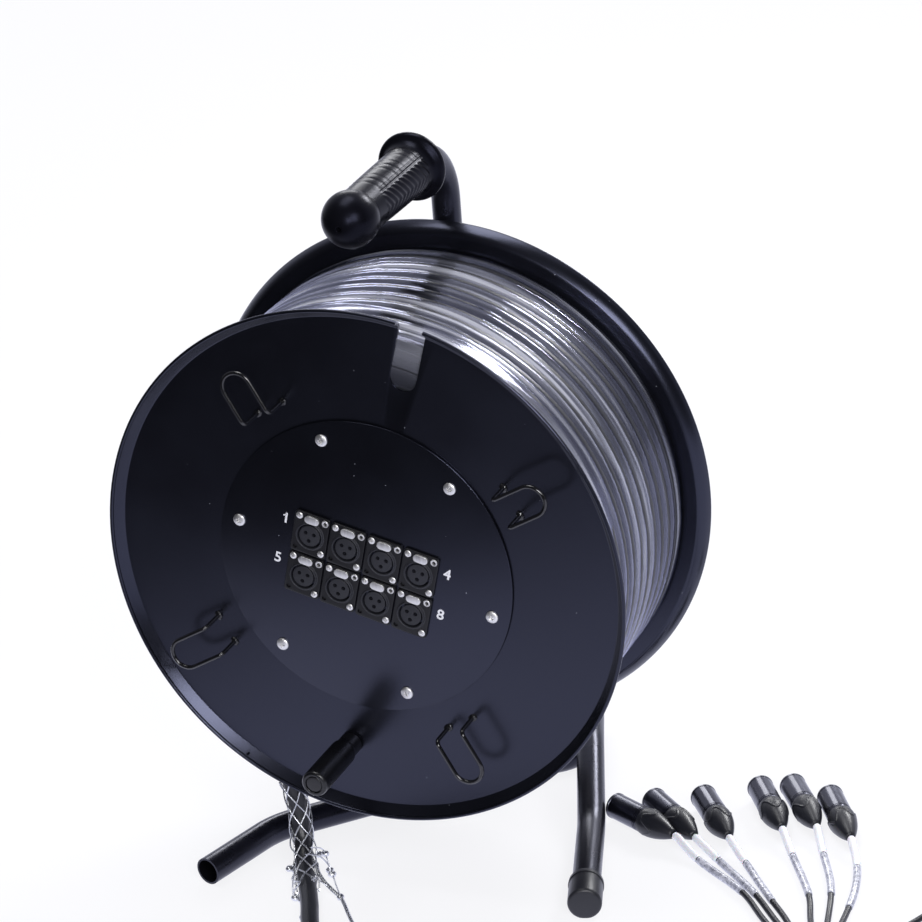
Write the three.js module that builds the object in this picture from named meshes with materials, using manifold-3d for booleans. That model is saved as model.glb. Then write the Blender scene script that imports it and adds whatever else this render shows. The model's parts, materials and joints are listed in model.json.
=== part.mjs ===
// Eight-way stage box snake: a cable drum on a bent tube stand, with sockets on the drum's face
// and a fan of plug tails on the cable's free end.
// Millimetres, +Z up, the drum's axle along Y, its socket face towards -Y, origin on the floor
// under the middle of the stand and drum.
import * as THREE from "three";
import { mergeVertices } from "three/addons/utils/BufferGeometryUtils.js";
import Module from "manifold-3d";

const wasm = await Module();
wasm.setup();

// Clearances
const seatGap = 0.3;
const runningGap = 0.5;
const cutOverrun = 3;

// Drum
const flangeRadius = 190;
const discHalfGap = 76.3;
const sheet = 1.6;
const rimBeadRadius = 3.1;
const rimBeadLift = 2.7;
const rimStepWidth = 4;
const barrelRadius = 104;
const plateSeatWidth = 18; // of the front flange inside the barrel's outline, under the plate
const plateOpeningRadius = barrelRadius - plateSeatWidth;
const barrelWall = 2;
const hubRadius = 14;
const hubLength = 66;
const coreSides = 44;

// Slot in the front flange that parks the cable's end
const slotWidth = 19.4;
const slotDepth = 52;
const slotAngle = THREE.MathUtils.degToRad(74.8);

// Wound cable
const cableDiameter = 12.8;
const windingDepth = 69; // of all the layers on the barrel
const windingOuterRadius = barrelRadius + windingDepth;
const windingPitch = 13.4;
const windingSteps = 22;
const windingSides = 6;
const climbRunShare = 0.67;
const climbDipShare = 0.12;
const leadAngle = THREE.MathUtils.degToRad(216);

// Stand
const tubeDiameter = 20;
const tubeWall = 1.5;
const axleHeight = 245;
const uprightSetback = 97;
const handleRise = 243;
const handleBendRadius = 42;
const footBendRadius = 33;
const rearBarReach = 70;
const leftTip = { x: -124, y: -116 };
const leftBend = { x: -104, y: -46, radius: 60 };
const weldShare = 0.8;
const rightTip = { x: 147, y: -82 };
const rightBend = { x: 112, y: 21, radius: 80 };
const rightLegTurn = THREE.MathUtils.degToRad(111);
const rightRampRun = 85;
const rightTopRun = 66;
const tubeSides = 12;
const tubeBoreSides = 6;
const mainBendSteps = 5;
const legBendSteps = 4;

// Handle grip
const gripRadius = 17;
const gripCollarRadius = 24.5;
const gripCollarWidth = 7;
const gripBallRadius = 19.5;
const gripFront = 74.5;
const gripBack = 49;
const gripWaist = 2.4;
const gripNeckShare = 1.7;

// Rubber cap on the right leg
const capRadius = 12;
const capFlat = 1;
const capLength = 30;
const capEndWall = 4;

// Axle
const axleRadius = 8;
const axleInnerEnd = 6;
const axleCollarRadius = 14;
const axleCollarThickness = 8;

// Crank knob
const crankRadius = 139;
const crankAngle = THREE.MathUtils.degToRad(-99.1);
const crankReach = 63.7;
const knobRadius = 9.4;
const knobNeckRadius = 8;
const knobNeckLength = 14;
const knobGroove = 0.9;
const knobRecessRadius = 6.4;
const knobRecessDepth = 1.4;
const crankBoltRadius = 3;
const crankBoltHeadRadius = 5.2;
const crankBoltHead = 3;

// Wire hooks
const hookWire = 3;
const hookRadius = 126.5;
const hookSpread = 21.6;
const hookStandoff = 21;
const hookReach = 36;
const hookCornerRadius = 4;
const hookTurn = THREE.MathUtils.degToRad(29);
const hookCount = 4;
const hookCornerSteps = 3;
const wireSides = 6;

// Connector plate
const plateLip = 3.5; // past the barrel's outline
const plateRadius = barrelRadius + plateLip;
const plateTurn = THREE.MathUtils.degToRad(-13.7);
const plateScrewInset = 9.2;
const plateScrewRadius = barrelRadius - plateScrewInset;
const plateScrewTurn = THREE.MathUtils.degToRad(118.4);
const plateScrewCount = 6;
const screwHeadRadius = 4.6;
const screwHeadHeight = 2.4;
const screwShankRadius = 2.1;
const screwShankLength = 8;
const panShares = { shoulder: 0.9, shoulderHeight: 0.6, crown: 0.55 };

// Chassis sockets
const socketColumns = 4;
const socketRows = 2;
const socketPitchX = 26.9;
const socketPitchY = 32;
const socketWidth = 26;
const socketHeight = 31;
const socketCorner = 2.2;
const socketFlange = 2;
const socketBodyRadius = 11.6;
const socketDepth = 20;
const socketCollarRadius = 9.9;
const socketCollarRise = 1.5;
const socketMouthRadius = 8.7;
const socketInsertRadius = 7.2;
const socketMouthDepth = 12;
const socketGrid = { x: -1.45, y: -4.6 };
const socketCentreDrop = 0.8;

// Push latch above each socket's mouth
const latchLength = 11;
const latchWidth = 6.2;
const latchRise = 1.3;
const latchFootGap = 0.1; // left under the latch when it is pressed in
const latchTravel = 1.5;
const latchOffset = 11.4;

// Free end of the cable
const splitterLength = 52;
const splitterRadius = 14;
const splitterNeckRadius = 9;
const tailDiameter = 4.4;
const tailCount = 8;
const tailRowPitch = 2.7;
const tailRowLift = 2.6;
const plugShellRadius = 9.5;
const plugShellLength = 31;
const plugBootLength = 30;
const plugBootStartRadius = 7.8;
const plugBootEndRadius = 3.2;
const plugMouthRadius = 8;
const plugMouthDepth = 9;
const sleeveRadius = 8.2;
const sleeveWall = 0.9;
const sleeveFrom = 2;
const sleeveTo = 8;
const ropeRadius = 1.5;
const ropeSteps = 8;
const freeSteps = 30;
const freeSides = 8;
const tailSteps = 11;
const tailSides = 8;
const tailLayingHeight = 3.4;
const splitterFlareShare = 0.35;

// Values worked out from the ones above
const cableRadius = cableDiameter / 2;
const tubeRadius = tubeDiameter / 2;
const tailRadius = tailDiameter / 2;
const innerFace = discHalfGap - sheet;
const windingRadius = windingOuterRadius - cableRadius;
const coreRadius = windingRadius * Math.cos(Math.PI / windingSteps) - cableRadius - runningGap;
const windingReach = innerFace - cableRadius - runningGap;
const turnCount = (2 * windingReach) / windingPitch;
const leadLength = Math.sqrt((windingOuterRadius + cableRadius + runningGap) ** 2 - windingRadius ** 2);
const rearBarSetback = uprightSetback + 2 * footBendRadius;
const frontReach = discHalfGap + crankReach;
const rearReach = rearBarSetback + tubeRadius;
const drumSetback = (rearReach - frontReach) / 2;
const plateFace = seatGap + sheet;
const socketFace = plateFace + seatGap + socketFlange;
const latchThickness = socketFace + latchRise - plateFace - latchTravel - latchFootGap;
const floorLevel = -axleHeight;

const along = (x, y, z) => new THREE.Vector3(x, y, z);
const turned = (radius, angle, y) => along(radius * Math.cos(angle), y, radius * Math.sin(angle));

const paint = (color, roughness, metalness) => ({ color, roughness, metalness });
const blackSteel = paint(0x0e0f12, 0.42, 0.15);
const blackTube = paint(0x17171a, 0.35, 0.2);
const blackRubber = paint(0x121214, 0.7, 0);
const cableJacket = paint(0x1b1c20, 0.3, 0);
const nickel = paint(0xd6d4cc, 0.28, 0.9);
const blackPlastic = paint(0x101113, 0.45, 0);
const zincSteel = paint(0xb9bcbf, 0.35, 0.9);
const castZinc = paint(0x16171a, 0.4, 0.3);

const drumCentre = new THREE.Group();
drumCentre.position.set(0, -drumSetback, axleHeight);
const faceGroup = new THREE.Group();
faceGroup.rotation.x = Math.PI / 2;
faceGroup.position.y = -discHalfGap;
drumCentre.add(faceGroup);
const plateGroup = new THREE.Group();
plateGroup.rotation.z = plateTurn;
faceGroup.add(plateGroup);

function addPiece(parent, name, geometry, finish) {
  const mesh = new THREE.Mesh(geometry, new THREE.MeshStandardMaterial(finish));
  mesh.name = name;
  parent.add(mesh);
  return mesh;
}

// A closed geometry as a solid that can be cut and joined
function solidOf(geometry) {
  const bare = geometry.index ? geometry.toNonIndexed() : geometry.clone();
  bare.deleteAttribute("normal");
  bare.deleteAttribute("uv");
  const merged = mergeVertices(bare);
  const vertProperties = merged.attributes.position.array;
  const triVerts = new Uint32Array(merged.index.array);
  return new wasm.Manifold(new wasm.Mesh({ numProp: 3, vertProperties, triVerts }));
}

function geometryOf(solid) {
  const { vertProperties, triVerts } = solid.getMesh();
  const geometry = new THREE.BufferGeometry();
  geometry.setAttribute("position", new THREE.BufferAttribute(vertProperties, 3));
  geometry.setIndex(new THREE.BufferAttribute(triVerts, 1));
  geometry.computeVertexNormals();
  return geometry;
}

function cutAway(geometry, cutters) {
  const left = cutters.reduce((solid, cutter) => solid.subtract(solidOf(cutter)), solidOf(geometry));
  return geometryOf(left);
}

function joined(geometries) {
  const whole = geometries.map(solidOf).reduce((solid, next) => solid.add(next));
  return geometryOf(whole);
}

// A turned piece about Y from [radius, y] points
function lathe(profile, sides) {
  return new THREE.LatheGeometry(
    profile.map(([radius, y]) => new THREE.Vector2(radius, y)),
    sides,
  );
}

// A turned piece about the face's own outward axis
const faceLathe = (profile, sides) => lathe(profile, sides).rotateX(Math.PI / 2);

function ringShape(radius, sides, centre = [0, 0]) {
  const shape = new THREE.Shape();
  for (let k = 0; k < sides; k++) {
    const angle = (2 * Math.PI * k) / sides;
    const [x, y] = [centre[0] + radius * Math.cos(angle), centre[1] + radius * Math.sin(angle)];
    if (k === 0) shape.moveTo(x, y);
    else shape.lineTo(x, y);
  }
  shape.closePath();
  return shape;
}

// A route through chosen points, taken one step at a time
class Route extends THREE.Curve {
  constructor(points) {
    super();
    this.points = points;
  }

  getPoint(t, target = new THREE.Vector3()) {
    const last = this.points.length - 1;
    const k = Math.min(Math.floor(t * last + 1 / last ** 2), last - 1);
    return target.lerpVectors(this.points[k], this.points[k + 1], t * last - k);
  }

  getPointAt(u, target) {
    return this.getPoint(u, target);
  }

  getTangentAt(u, target = new THREE.Vector3()) {
    const last = this.points.length - 1;
    const k = Math.round(u * last);
    const before = this.points[Math.max(k - 1, 0)];
    const after = this.points[Math.min(k + 1, last)];
    return target.subVectors(after, before).normalize();
  }
}

// A tube along points, hollow where it has a bore
function tubeAlong(points, radius, sides, bore = 0, boreSides = sides) {
  const shape = ringShape(radius, sides);
  if (bore > 0) shape.holes.push(ringShape(bore, boreSides));
  return new THREE.ExtrudeGeometry(shape, {
    steps: points.length - 1,
    extrudePath: new Route(points),
  });
}

// Corners joined by straight runs, each corner rounded to its own radius
function bentRoute(corners, radii, stepsPerBend) {
  const points = [corners[0].clone()];
  for (let k = 1; k < corners.length - 1; k++) {
    const inward = corners[k].clone().sub(corners[k - 1]).normalize();
    const outward = corners[k + 1].clone().sub(corners[k]).normalize();
    const angle = inward.angleTo(outward);
    const setback = radii[k - 1] * Math.tan(angle / 2);
    const start = corners[k].clone().addScaledVector(inward, -setback);
    const side = outward.clone().addScaledVector(inward, -outward.dot(inward)).normalize();
    for (let step = 0; step <= stepsPerBend; step++) {
      const turn = (angle * step) / stepsPerBend;
      const point = start.clone().addScaledVector(inward, radii[k - 1] * Math.sin(turn));
      point.addScaledVector(side, radii[k - 1] * (1 - Math.cos(turn)));
      if (point.distanceTo(points[points.length - 1]) > seatGap) points.push(point);
    }
  }
  points.push(corners[corners.length - 1].clone());
  return points;
}

// Stand: one long tube from the handle to the rear bar, and two legs welded to its foot bends
const footZ = floorLevel + tubeRadius;
const standTube = (points) =>
  tubeAlong(points, tubeRadius, tubeSides, tubeRadius - tubeWall, tubeBoreSides);
const mainRoute = bentRoute(
  [
    along(0, -gripFront + gripBallRadius, handleRise),
    along(0, uprightSetback, handleRise),
    along(0, uprightSetback, footZ),
    along(2 * footBendRadius, uprightSetback, footZ),
    along(2 * footBendRadius, rearBarSetback, footZ),
    along(-rearBarReach, rearBarSetback, footZ),
  ],
  [handleBendRadius, footBendRadius, footBendRadius, footBendRadius],
  mainBendSteps,
);

function leftLeg() {
  const weld = along(footBendRadius * weldShare, uprightSetback - tubeRadius / 2, footZ);
  const corners = [
    along(leftTip.x, leftTip.y, footZ),
    along(leftBend.x, leftBend.y, footZ),
    weld,
  ];
  const leg = standTube(bentRoute(corners, [leftBend.radius], legBendSteps));
  return cutAway(leg, [tubeAlong(mainRoute, tubeRadius + seatGap, tubeSides)]);
}

const rightFootZ = floorLevel + capRadius - capFlat;
const rightTopZ = footZ + tubeDiameter + seatGap;
const rightHeading = along(Math.cos(rightLegTurn), Math.sin(rightLegTurn), 0);
const rightBendPoint = along(rightBend.x, rightBend.y, footZ);
const rightRampTop = rightBendPoint.clone().addScaledVector(rightHeading, rightRampRun).setZ(rightTopZ);
const rightEnd = rightRampTop.clone().addScaledVector(rightHeading, rightTopRun);
const rightTipPoint = along(rightTip.x, rightTip.y, rightFootZ);
const rightRoute = bentRoute(
  [rightTipPoint, rightBendPoint, rightRampTop, rightEnd],
  [rightBend.radius, rightBend.radius],
  legBendSteps,
);

addPiece(drumCentre, "stand_main_tube", standTube(mainRoute), blackTube);
addPiece(drumCentre, "left_leg_tube", leftLeg(), blackTube);
addPiece(drumCentre, "right_leg_tube", standTube(rightRoute), blackTube);

function handleGrip() {
  const bore = tubeRadius + seatGap;
  const boreEnd = -gripFront + gripBallRadius - seatGap;
  const neck = -gripFront + gripBallRadius * gripNeckShare;
  const ball = [-90, -60, -30, 0, 35].map((degrees) => {
    const angle = THREE.MathUtils.degToRad(degrees);
    return [
      gripBallRadius * Math.cos(angle),
      -gripFront + gripBallRadius * (1 + Math.sin(angle)),
    ];
  });
  ball[0][0] = 0;
  const profile = [
    ...ball,
    [gripRadius - gripWaist, neck],
    [gripRadius, neck + gripWaist],
    [gripRadius, gripBack - gripCollarWidth - gripWaist],
    [gripCollarRadius - gripWaist, gripBack - gripCollarWidth],
    [gripCollarRadius, gripBack - gripCollarWidth / 2],
    [gripCollarRadius - gripWaist, gripBack],
    [bore, gripBack],
    [bore, boreEnd],
    [0, boreEnd],
  ];
  return lathe(profile, 16).translate(0, 0, handleRise);
}

function footCap() {
  const away = rightTipPoint.clone().sub(rightBendPoint).normalize();
  const profile = [
    [0, capEndWall + seatGap],
    [capRadius - capEndWall / 2, capEndWall + seatGap],
    [capRadius, capEndWall / 2],
    [capRadius, capEndWall - capLength],
    [tubeRadius + seatGap, capEndWall - capLength],
    [tubeRadius + seatGap, seatGap],
    [0, seatGap],
  ].reverse();
  const cap = lathe(profile, 16);
  const turn = new THREE.Quaternion().setFromUnitVectors(along(0, 1, 0), away);
  cap.applyQuaternion(turn).translate(...rightTipPoint.toArray());
  const below = new THREE.BoxGeometry(capLength * 3, capLength * 3, capRadius);
  below.translate(rightTip.x, rightTip.y, floorLevel - capRadius / 2);
  return cutAway(cap, [below]);
}

addPiece(drumCentre, "handle_grip", handleGrip(), blackRubber);
addPiece(drumCentre, "right_foot_cap", footCap(), blackRubber);

// Axle: welded to the upright, with a collar on its inner end that keeps the hub tube on
const axleEnd = uprightSetback - tubeRadius - seatGap;
const hubEnd = axleEnd - seatGap;
const hubStart = hubEnd - hubLength;
const collarEnd = hubStart - seatGap;
const axle = lathe(
  [
    [0, axleInnerEnd],
    [axleRadius, axleInnerEnd],
    [axleRadius, collarEnd - axleCollarThickness],
    [axleCollarRadius, collarEnd - axleCollarThickness],
    [axleCollarRadius, collarEnd],
    [axleRadius, collarEnd],
    [axleRadius, axleEnd],
    [0, axleEnd],
  ],
  16,
);
addPiece(drumCentre, "axle_shaft", axle, zincSteel);

// Flanges: flat discs whose rim steps outwards into a round bead
function flange(side, boreOfDisc) {
  const beadCentre = discHalfGap + rimBeadLift;
  const beadAt = flangeRadius - rimBeadRadius;
  const bead = [-110, -55, 0, 55, 110, 165].map((degrees) => {
    const angle = THREE.MathUtils.degToRad(degrees);
    return [beadAt + rimBeadRadius * Math.cos(angle), beadCentre + rimBeadRadius * Math.sin(angle)];
  });
  const step = beadAt - rimBeadRadius - rimStepWidth;
  const profile = [
    [boreOfDisc, innerFace],
    [step, innerFace],
    ...bead,
    [step, discHalfGap],
    [boreOfDisc, discHalfGap],
    [boreOfDisc, innerFace],
  ];
  const outward = profile.map(([radius, y]) => [radius, side * y]);
  return lathe(side > 0 ? outward : outward.reverse(), coreSides);
}

function slotCutter() {
  const inner = flangeRadius - slotDepth;
  const half = slotWidth / 2;
  const shape = new THREE.Shape();
  shape.moveTo(flangeRadius + cutOverrun, -half);
  shape.lineTo(flangeRadius + cutOverrun, half);
  shape.lineTo(inner + half, half);
  shape.absarc(inner + half, 0, half, Math.PI / 2, Math.PI * 1.5, false);
  shape.closePath();
  const depth = 2 * rimBeadLift + 2 * rimBeadRadius + sheet + 2 * cutOverrun;
  const cutter = new THREE.ExtrudeGeometry(shape, { depth, bevelEnabled: false, curveSegments: 8 });
  cutter.rotateZ(slotAngle).rotateX(Math.PI / 2);
  return cutter.translate(0, -innerFace + cutOverrun, 0);
}

function drillAt(radius, angle, holeRadius, depth) {
  const drill = new THREE.CylinderGeometry(holeRadius, holeRadius, depth, 8);
  drill.rotateX(Math.PI / 2);
  return drill.translate(radius * Math.cos(angle), radius * Math.sin(angle), 0);
}

const screwAngles = Array.from(
  { length: plateScrewCount },
  (_, k) => plateScrewTurn - (2 * Math.PI * k) / plateScrewCount,
);
const screwHoleRadius = screwShankRadius + seatGap;
const drillDepth = 2 * (sheet + cutOverrun);

function frontFlange() {
  const screwHoles = screwAngles.map((angle) =>
    drillAt(plateScrewRadius, angle + plateTurn, screwHoleRadius, drillDepth)
      .rotateX(Math.PI / 2)
      .translate(0, -discHalfGap, 0),
  );
  const boltHole = drillAt(crankRadius, crankAngle, crankBoltRadius + seatGap, drillDepth)
    .rotateX(Math.PI / 2)
    .translate(0, -discHalfGap, 0);
  return cutAway(flange(-1, plateOpeningRadius), [slotCutter(), boltHole, ...screwHoles]);
}

addPiece(drumCentre, "front_flange", frontFlange(), blackSteel);
addPiece(drumCentre, "rear_flange", flange(1, hubRadius + seatGap), blackSteel);

// Barrel with its rear web
function drumCore() {
  const webFace = innerFace - seatGap;
  const webBore = hubRadius + seatGap;
  const profile = [
    [webBore, webFace - barrelWall],
    [barrelRadius - barrelWall, webFace - barrelWall],
    [barrelRadius - barrelWall, -webFace],
    [barrelRadius, -webFace],
    [barrelRadius, webFace],
    [webBore, webFace],
    [webBore, webFace - barrelWall],
  ];
  return lathe(profile, coreSides / 2);
}

// Hub tube: turns on the axle, held in the web and the rear flange
function hubTube() {
  const hubBore = axleRadius + runningGap;
  const profile = [
    [hubBore, hubStart],
    [hubRadius, hubStart],
    [hubRadius, hubEnd],
    [hubBore, hubEnd],
    [hubBore, hubStart],
  ];
  return lathe(profile, 16);
}

addPiece(drumCentre, "drum_core", drumCore(), blackSteel);
addPiece(drumCentre, "hub_tube", hubTube(), blackSteel);

// Wound cable: an outer layer of turns over the plain inner layers
const windingAngle = (turn) => leadAngle - 2 * Math.PI * (turnCount - turn);
const windingPoint = (turn) =>
  turned(windingRadius, windingAngle(turn), windingReach - turn * windingPitch);
const windingHeading = (turn) => along(-Math.sin(windingAngle(turn)), 0, Math.cos(windingAngle(turn)));

function windingRoute() {
  const steps = Math.round(turnCount * windingSteps);
  const points = [windingPoint(0).addScaledVector(windingHeading(0), -cableDiameter)];
  for (let k = 0; k <= steps; k++) points.push(windingPoint((turnCount * k) / steps));
  const last = windingPoint(turnCount);
  points.push(last.clone().addScaledVector(windingHeading(turnCount), leadLength - cableDiameter));
  points.push(last.clone().addScaledVector(windingHeading(turnCount), leadLength));
  return points;
}

const windingPoints = windingRoute();

// The least clear gap between turns that lie a whole turn apart along the winding
function leastWindingGap(points) {
  let least = Infinity;
  for (let a = 0; a < points.length; a++) {
    for (let b = a + windingSteps / 2; b < points.length; b++) {
      least = Math.min(least, points[a].distanceTo(points[b]) - cableDiameter);
    }
  }
  return least;
}

console.log("least gap between turns " + leastWindingGap(windingPoints).toFixed(2) + " mm");
addPiece(drumCentre, "cable_winding", tubeAlong(windingPoints, cableRadius, windingSides), cableJacket);

// The inner layers, with the last turn of the layer below climbing up to meet the outer one
function innerLayers() {
  const width = innerFace - runningGap;
  const bore = barrelRadius + seatGap;
  const layers = lathe(
    [
      [bore, -width],
      [coreRadius, -width],
      [coreRadius, width],
      [bore, width],
      [bore, -width],
    ],
    coreSides,
  );
  const back = windingHeading(0).negate();
  const face = windingPoint(0).addScaledVector(back, cableDiameter + seatGap);
  const inward = along(-face.x, 0, -face.z).normalize();
  const climb = [0, 1, 2, 3, 4, 5].map((k) => {
    const run = k * cableDiameter * climbRunShare;
    const dip = Math.max(k - 1, 0) ** 2 * cableDiameter * climbDipShare;
    return face.clone().addScaledVector(back, run).addScaledVector(inward, dip);
  });
  return joined([layers, tubeAlong(climb, cableRadius, windingSides)]);
}

addPiece(drumCentre, "inner_winding", innerLayers(), cableJacket);

// Crank: a stud pressed into the front flange and a knob that spins on it
const studCollarTop = seatGap + crankBoltHead / 2;
const studHeadTop = crankReach - knobRecessDepth - runningGap;

function crankBolt() {
  return faceLathe(
    [
      [0, -sheet],
      [crankBoltRadius, -sheet],
      [crankBoltRadius, seatGap],
      [crankBoltHeadRadius, seatGap],
      [crankBoltHeadRadius, studCollarTop],
      [crankBoltRadius, studCollarTop],
      [crankBoltRadius, studHeadTop - crankBoltHead],
      [crankBoltHeadRadius, studHeadTop - crankBoltHead],
      [crankBoltHeadRadius, studHeadTop],
      [0, studHeadTop],
    ],
    10,
  );
}

function crankKnob() {
  const seat = studHeadTop - crankBoltHead - seatGap;
  const bore = crankBoltRadius + runningGap;
  const base = studCollarTop + seatGap;
  return faceLathe(
    [
      [bore, base],
      [knobNeckRadius, base],
      [knobNeckRadius, knobNeckLength],
      [knobRadius - knobGroove, knobNeckLength + knobGroove],
      [knobRadius, knobNeckLength + 2 * knobGroove],
      [knobRadius, crankReach - knobGroove],
      [knobRadius - knobGroove, crankReach],
      [knobRecessRadius, crankReach],
      [knobRecessRadius, seat],
      [bore, seat],
      [bore, base],
    ],
    16,
  );
}

const crankAt = [crankRadius * Math.cos(crankAngle), crankRadius * Math.sin(crankAngle), 0];
addPiece(faceGroup, "crank_bolt", crankBolt(), zincSteel).position.set(...crankAt);
addPiece(faceGroup, "crank_knob", crankKnob(), blackPlastic).position.set(...crankAt);

// Wire hooks: each stands off the flange on two posts and reaches out as a round-ended loop
function hook() {
  const half = hookSpread / 2;
  const wire = hookWire / 2;
  const arc = [90, 60, 30, 0, -30, -60, -90].map((degrees) => {
    const angle = THREE.MathUtils.degToRad(degrees);
    const end = hookReach - half;
    return along(end + half * Math.cos(angle), half * Math.sin(angle), hookStandoff);
  });
  const postRun = (y) => {
    const corners = [
      along(0, y, seatGap),
      along(0, y, hookStandoff),
      along(hookReach - half, y, hookStandoff),
    ];
    return bentRoute(corners, [hookCornerRadius], hookCornerSteps).slice(0, -1);
  };
  const points = [...postRun(half), ...arc, ...postRun(-half).reverse()];
  return tubeAlong(points, wire, wireSides);
}

for (let k = 0; k < hookCount; k++) {
  const angle = hookTurn + (2 * Math.PI * k) / hookCount;
  const piece = addPiece(faceGroup, "wire_hook_" + (k + 1), hook(), blackSteel);
  piece.rotation.z = angle;
  piece.position.set(hookRadius * Math.cos(angle), hookRadius * Math.sin(angle), 0);
}

// Connector plate with a round hole behind each socket
const socketPlaces = Array.from({ length: socketColumns * socketRows }, (_, k) => ({
  x: socketGrid.x + socketPitchX * ((k % socketColumns) - (socketColumns - 1) / 2),
  y: socketGrid.y + socketPitchY * ((socketRows - 1) / 2 - Math.floor(k / socketColumns)),
}));

function connectorPlate() {
  const shape = ringShape(plateRadius, coreSides);
  for (const place of socketPlaces) {
    const centre = [place.x, place.y - socketCentreDrop];
    shape.holes.push(ringShape(socketBodyRadius + seatGap, 12, centre));
  }
  const plate = new THREE.ExtrudeGeometry(shape, { depth: sheet, bevelEnabled: false });
  plate.translate(0, 0, seatGap);
  const holes = screwAngles.map((angle) => drillAt(plateScrewRadius, angle, screwHoleRadius, drillDepth));
  return cutAway(plate, holes);
}

addPiece(plateGroup, "connector_plate", connectorPlate(), blackSteel);

function panScrew() {
  const seat = plateFace + seatGap;
  return faceLathe(
    [
      [0, seat - screwShankLength],
      [screwShankRadius, seat - screwShankLength],
      [screwShankRadius, seat],
      [screwHeadRadius, seat],
      [screwHeadRadius * panShares.shoulder, seat + screwHeadHeight * panShares.shoulderHeight],
      [screwHeadRadius * panShares.crown, seat + screwHeadHeight],
      [0, seat + screwHeadHeight],
    ],
    8,
  );
}

screwAngles.forEach((angle, k) => {
  const screw = addPiece(plateGroup, "plate_screw_" + (k + 1), panScrew(), nickel);
  screw.position.set(plateScrewRadius * Math.cos(angle), plateScrewRadius * Math.sin(angle), 0);
});

function roundedPlate(width, height, corner) {
  const [x, y] = [width / 2, height / 2];
  const shape = new THREE.Shape();
  shape.moveTo(-x + corner, -y);
  shape.lineTo(x - corner, -y);
  shape.lineTo(x, -y + corner);
  shape.lineTo(x, y - corner);
  shape.lineTo(x - corner, y);
  shape.lineTo(-x + corner, y);
  shape.lineTo(-x, y - corner);
  shape.lineTo(-x, -y + corner);
  shape.closePath();
  return shape;
}

function ovalShape(length, width) {
  const half = width / 2;
  const shape = new THREE.Shape();
  shape.absarc(length / 2 - half, 0, half, -Math.PI / 2, Math.PI / 2, false);
  shape.absarc(half - length / 2, 0, half, Math.PI / 2, Math.PI * 1.5, false);
  shape.closePath();
  return shape;
}

// A chassis socket: square flange, round body behind, and a mouth round its insert
function chassisSocket() {
  const flangeBack = plateFace + seatGap;
  const collarTop = socketFace + socketCollarRise;
  const bodyEnd = plateFace - socketDepth;
  const square = new THREE.ExtrudeGeometry(roundedPlate(socketWidth, socketHeight, socketCorner), {
    depth: socketFlange,
    bevelEnabled: false,
  }).translate(0, 0, flangeBack);
  const body = faceLathe(
    [
      [0, bodyEnd],
      [socketBodyRadius, bodyEnd],
      [socketBodyRadius, socketFace - socketFlange / 2],
      [socketCollarRadius, socketFace - socketFlange / 2],
      [socketCollarRadius, collarTop],
      [0, collarTop],
    ],
    12,
  ).translate(0, -socketCentreDrop, 0);
  const mouth = faceLathe(
    [
      [socketInsertRadius, collarTop - socketMouthDepth],
      [socketMouthRadius, collarTop - socketMouthDepth],
      [socketMouthRadius, collarTop + cutOverrun],
      [socketInsertRadius, collarTop + cutOverrun],
      [socketInsertRadius, collarTop - socketMouthDepth],
    ],
    12,
  ).translate(0, -socketCentreDrop, 0);
  const room = 2 * seatGap;
  const latchFloor = socketFace + latchRise - latchThickness - latchTravel - seatGap;
  const latchSlot = new THREE.ExtrudeGeometry(ovalShape(latchLength + room, latchWidth + room), {
    depth: socketFace + cutOverrun - latchFloor,
    bevelEnabled: false,
    curveSegments: 3,
  }).translate(0, latchOffset, latchFloor);
  return cutAway(joined([square, body]), [mouth, latchSlot]);
}

function pushLatch() {
  return new THREE.ExtrudeGeometry(ovalShape(latchLength, latchWidth), {
    depth: latchThickness,
    bevelEnabled: false,
    curveSegments: 3,
  }).translate(0, latchOffset, socketFace + latchRise - latchThickness);
}

socketPlaces.forEach((place, k) => {
  const socket = addPiece(plateGroup, "socket_" + (k + 1), chassisSocket(), blackPlastic);
  socket.position.set(place.x, place.y, 0);
  const latch = addPiece(plateGroup, "socket_latch_" + (k + 1), pushLatch(), nickel);
  latch.position.set(place.x, place.y, 0);
});

// Free end of the cable. Route points are [x, y, height above the floor], x and y from the axle.
const atHeight = ([x, y, height]) => along(x, y, floorLevel + height);
const leadEnd = windingPoint(turnCount).addScaledVector(windingHeading(turnCount), leadLength + seatGap);
const freeRoute = [
  [-79, -67.8, 70],
  [-74.5, -68, 54],
  [-71.5, -70, 38],
  [-68, -76, 23],
  [-62, -87, 13.5],
  [-55, -101, 9.5],
  [-46, -117, 8.7],
  [-36, -136, 8.5],
  [-26, -157, 8.2],
  [-12, -180, 6.8],
  [12, -203, 6.5],
  [48, -222, 6.5],
  [95, -233, 6.5],
  [150, -238, 6.5],
  [205, -240, 6.5],
  [255, -239, 6.5],
  [296, -234, 6.5],
  [325, -225, 7.5],
  [343, -211, 10],
  [351, -195, 12.5],
];
const ropeRoute = [
  [-52.9, -86.9, 11.5],
  [-49, -93.5, 9.5],
  [-42, -100, 7],
  [-33, -106, 4.5],
  [-23.5, -112, 2.6],
  [-8, -132, 1.8],
  [9, -154, 1.8],
  [24, -173, 1.8],
];
const splitterFace = [325, -118, 14];
const splitterTurn = THREE.MathUtils.degToRad(112);
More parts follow.
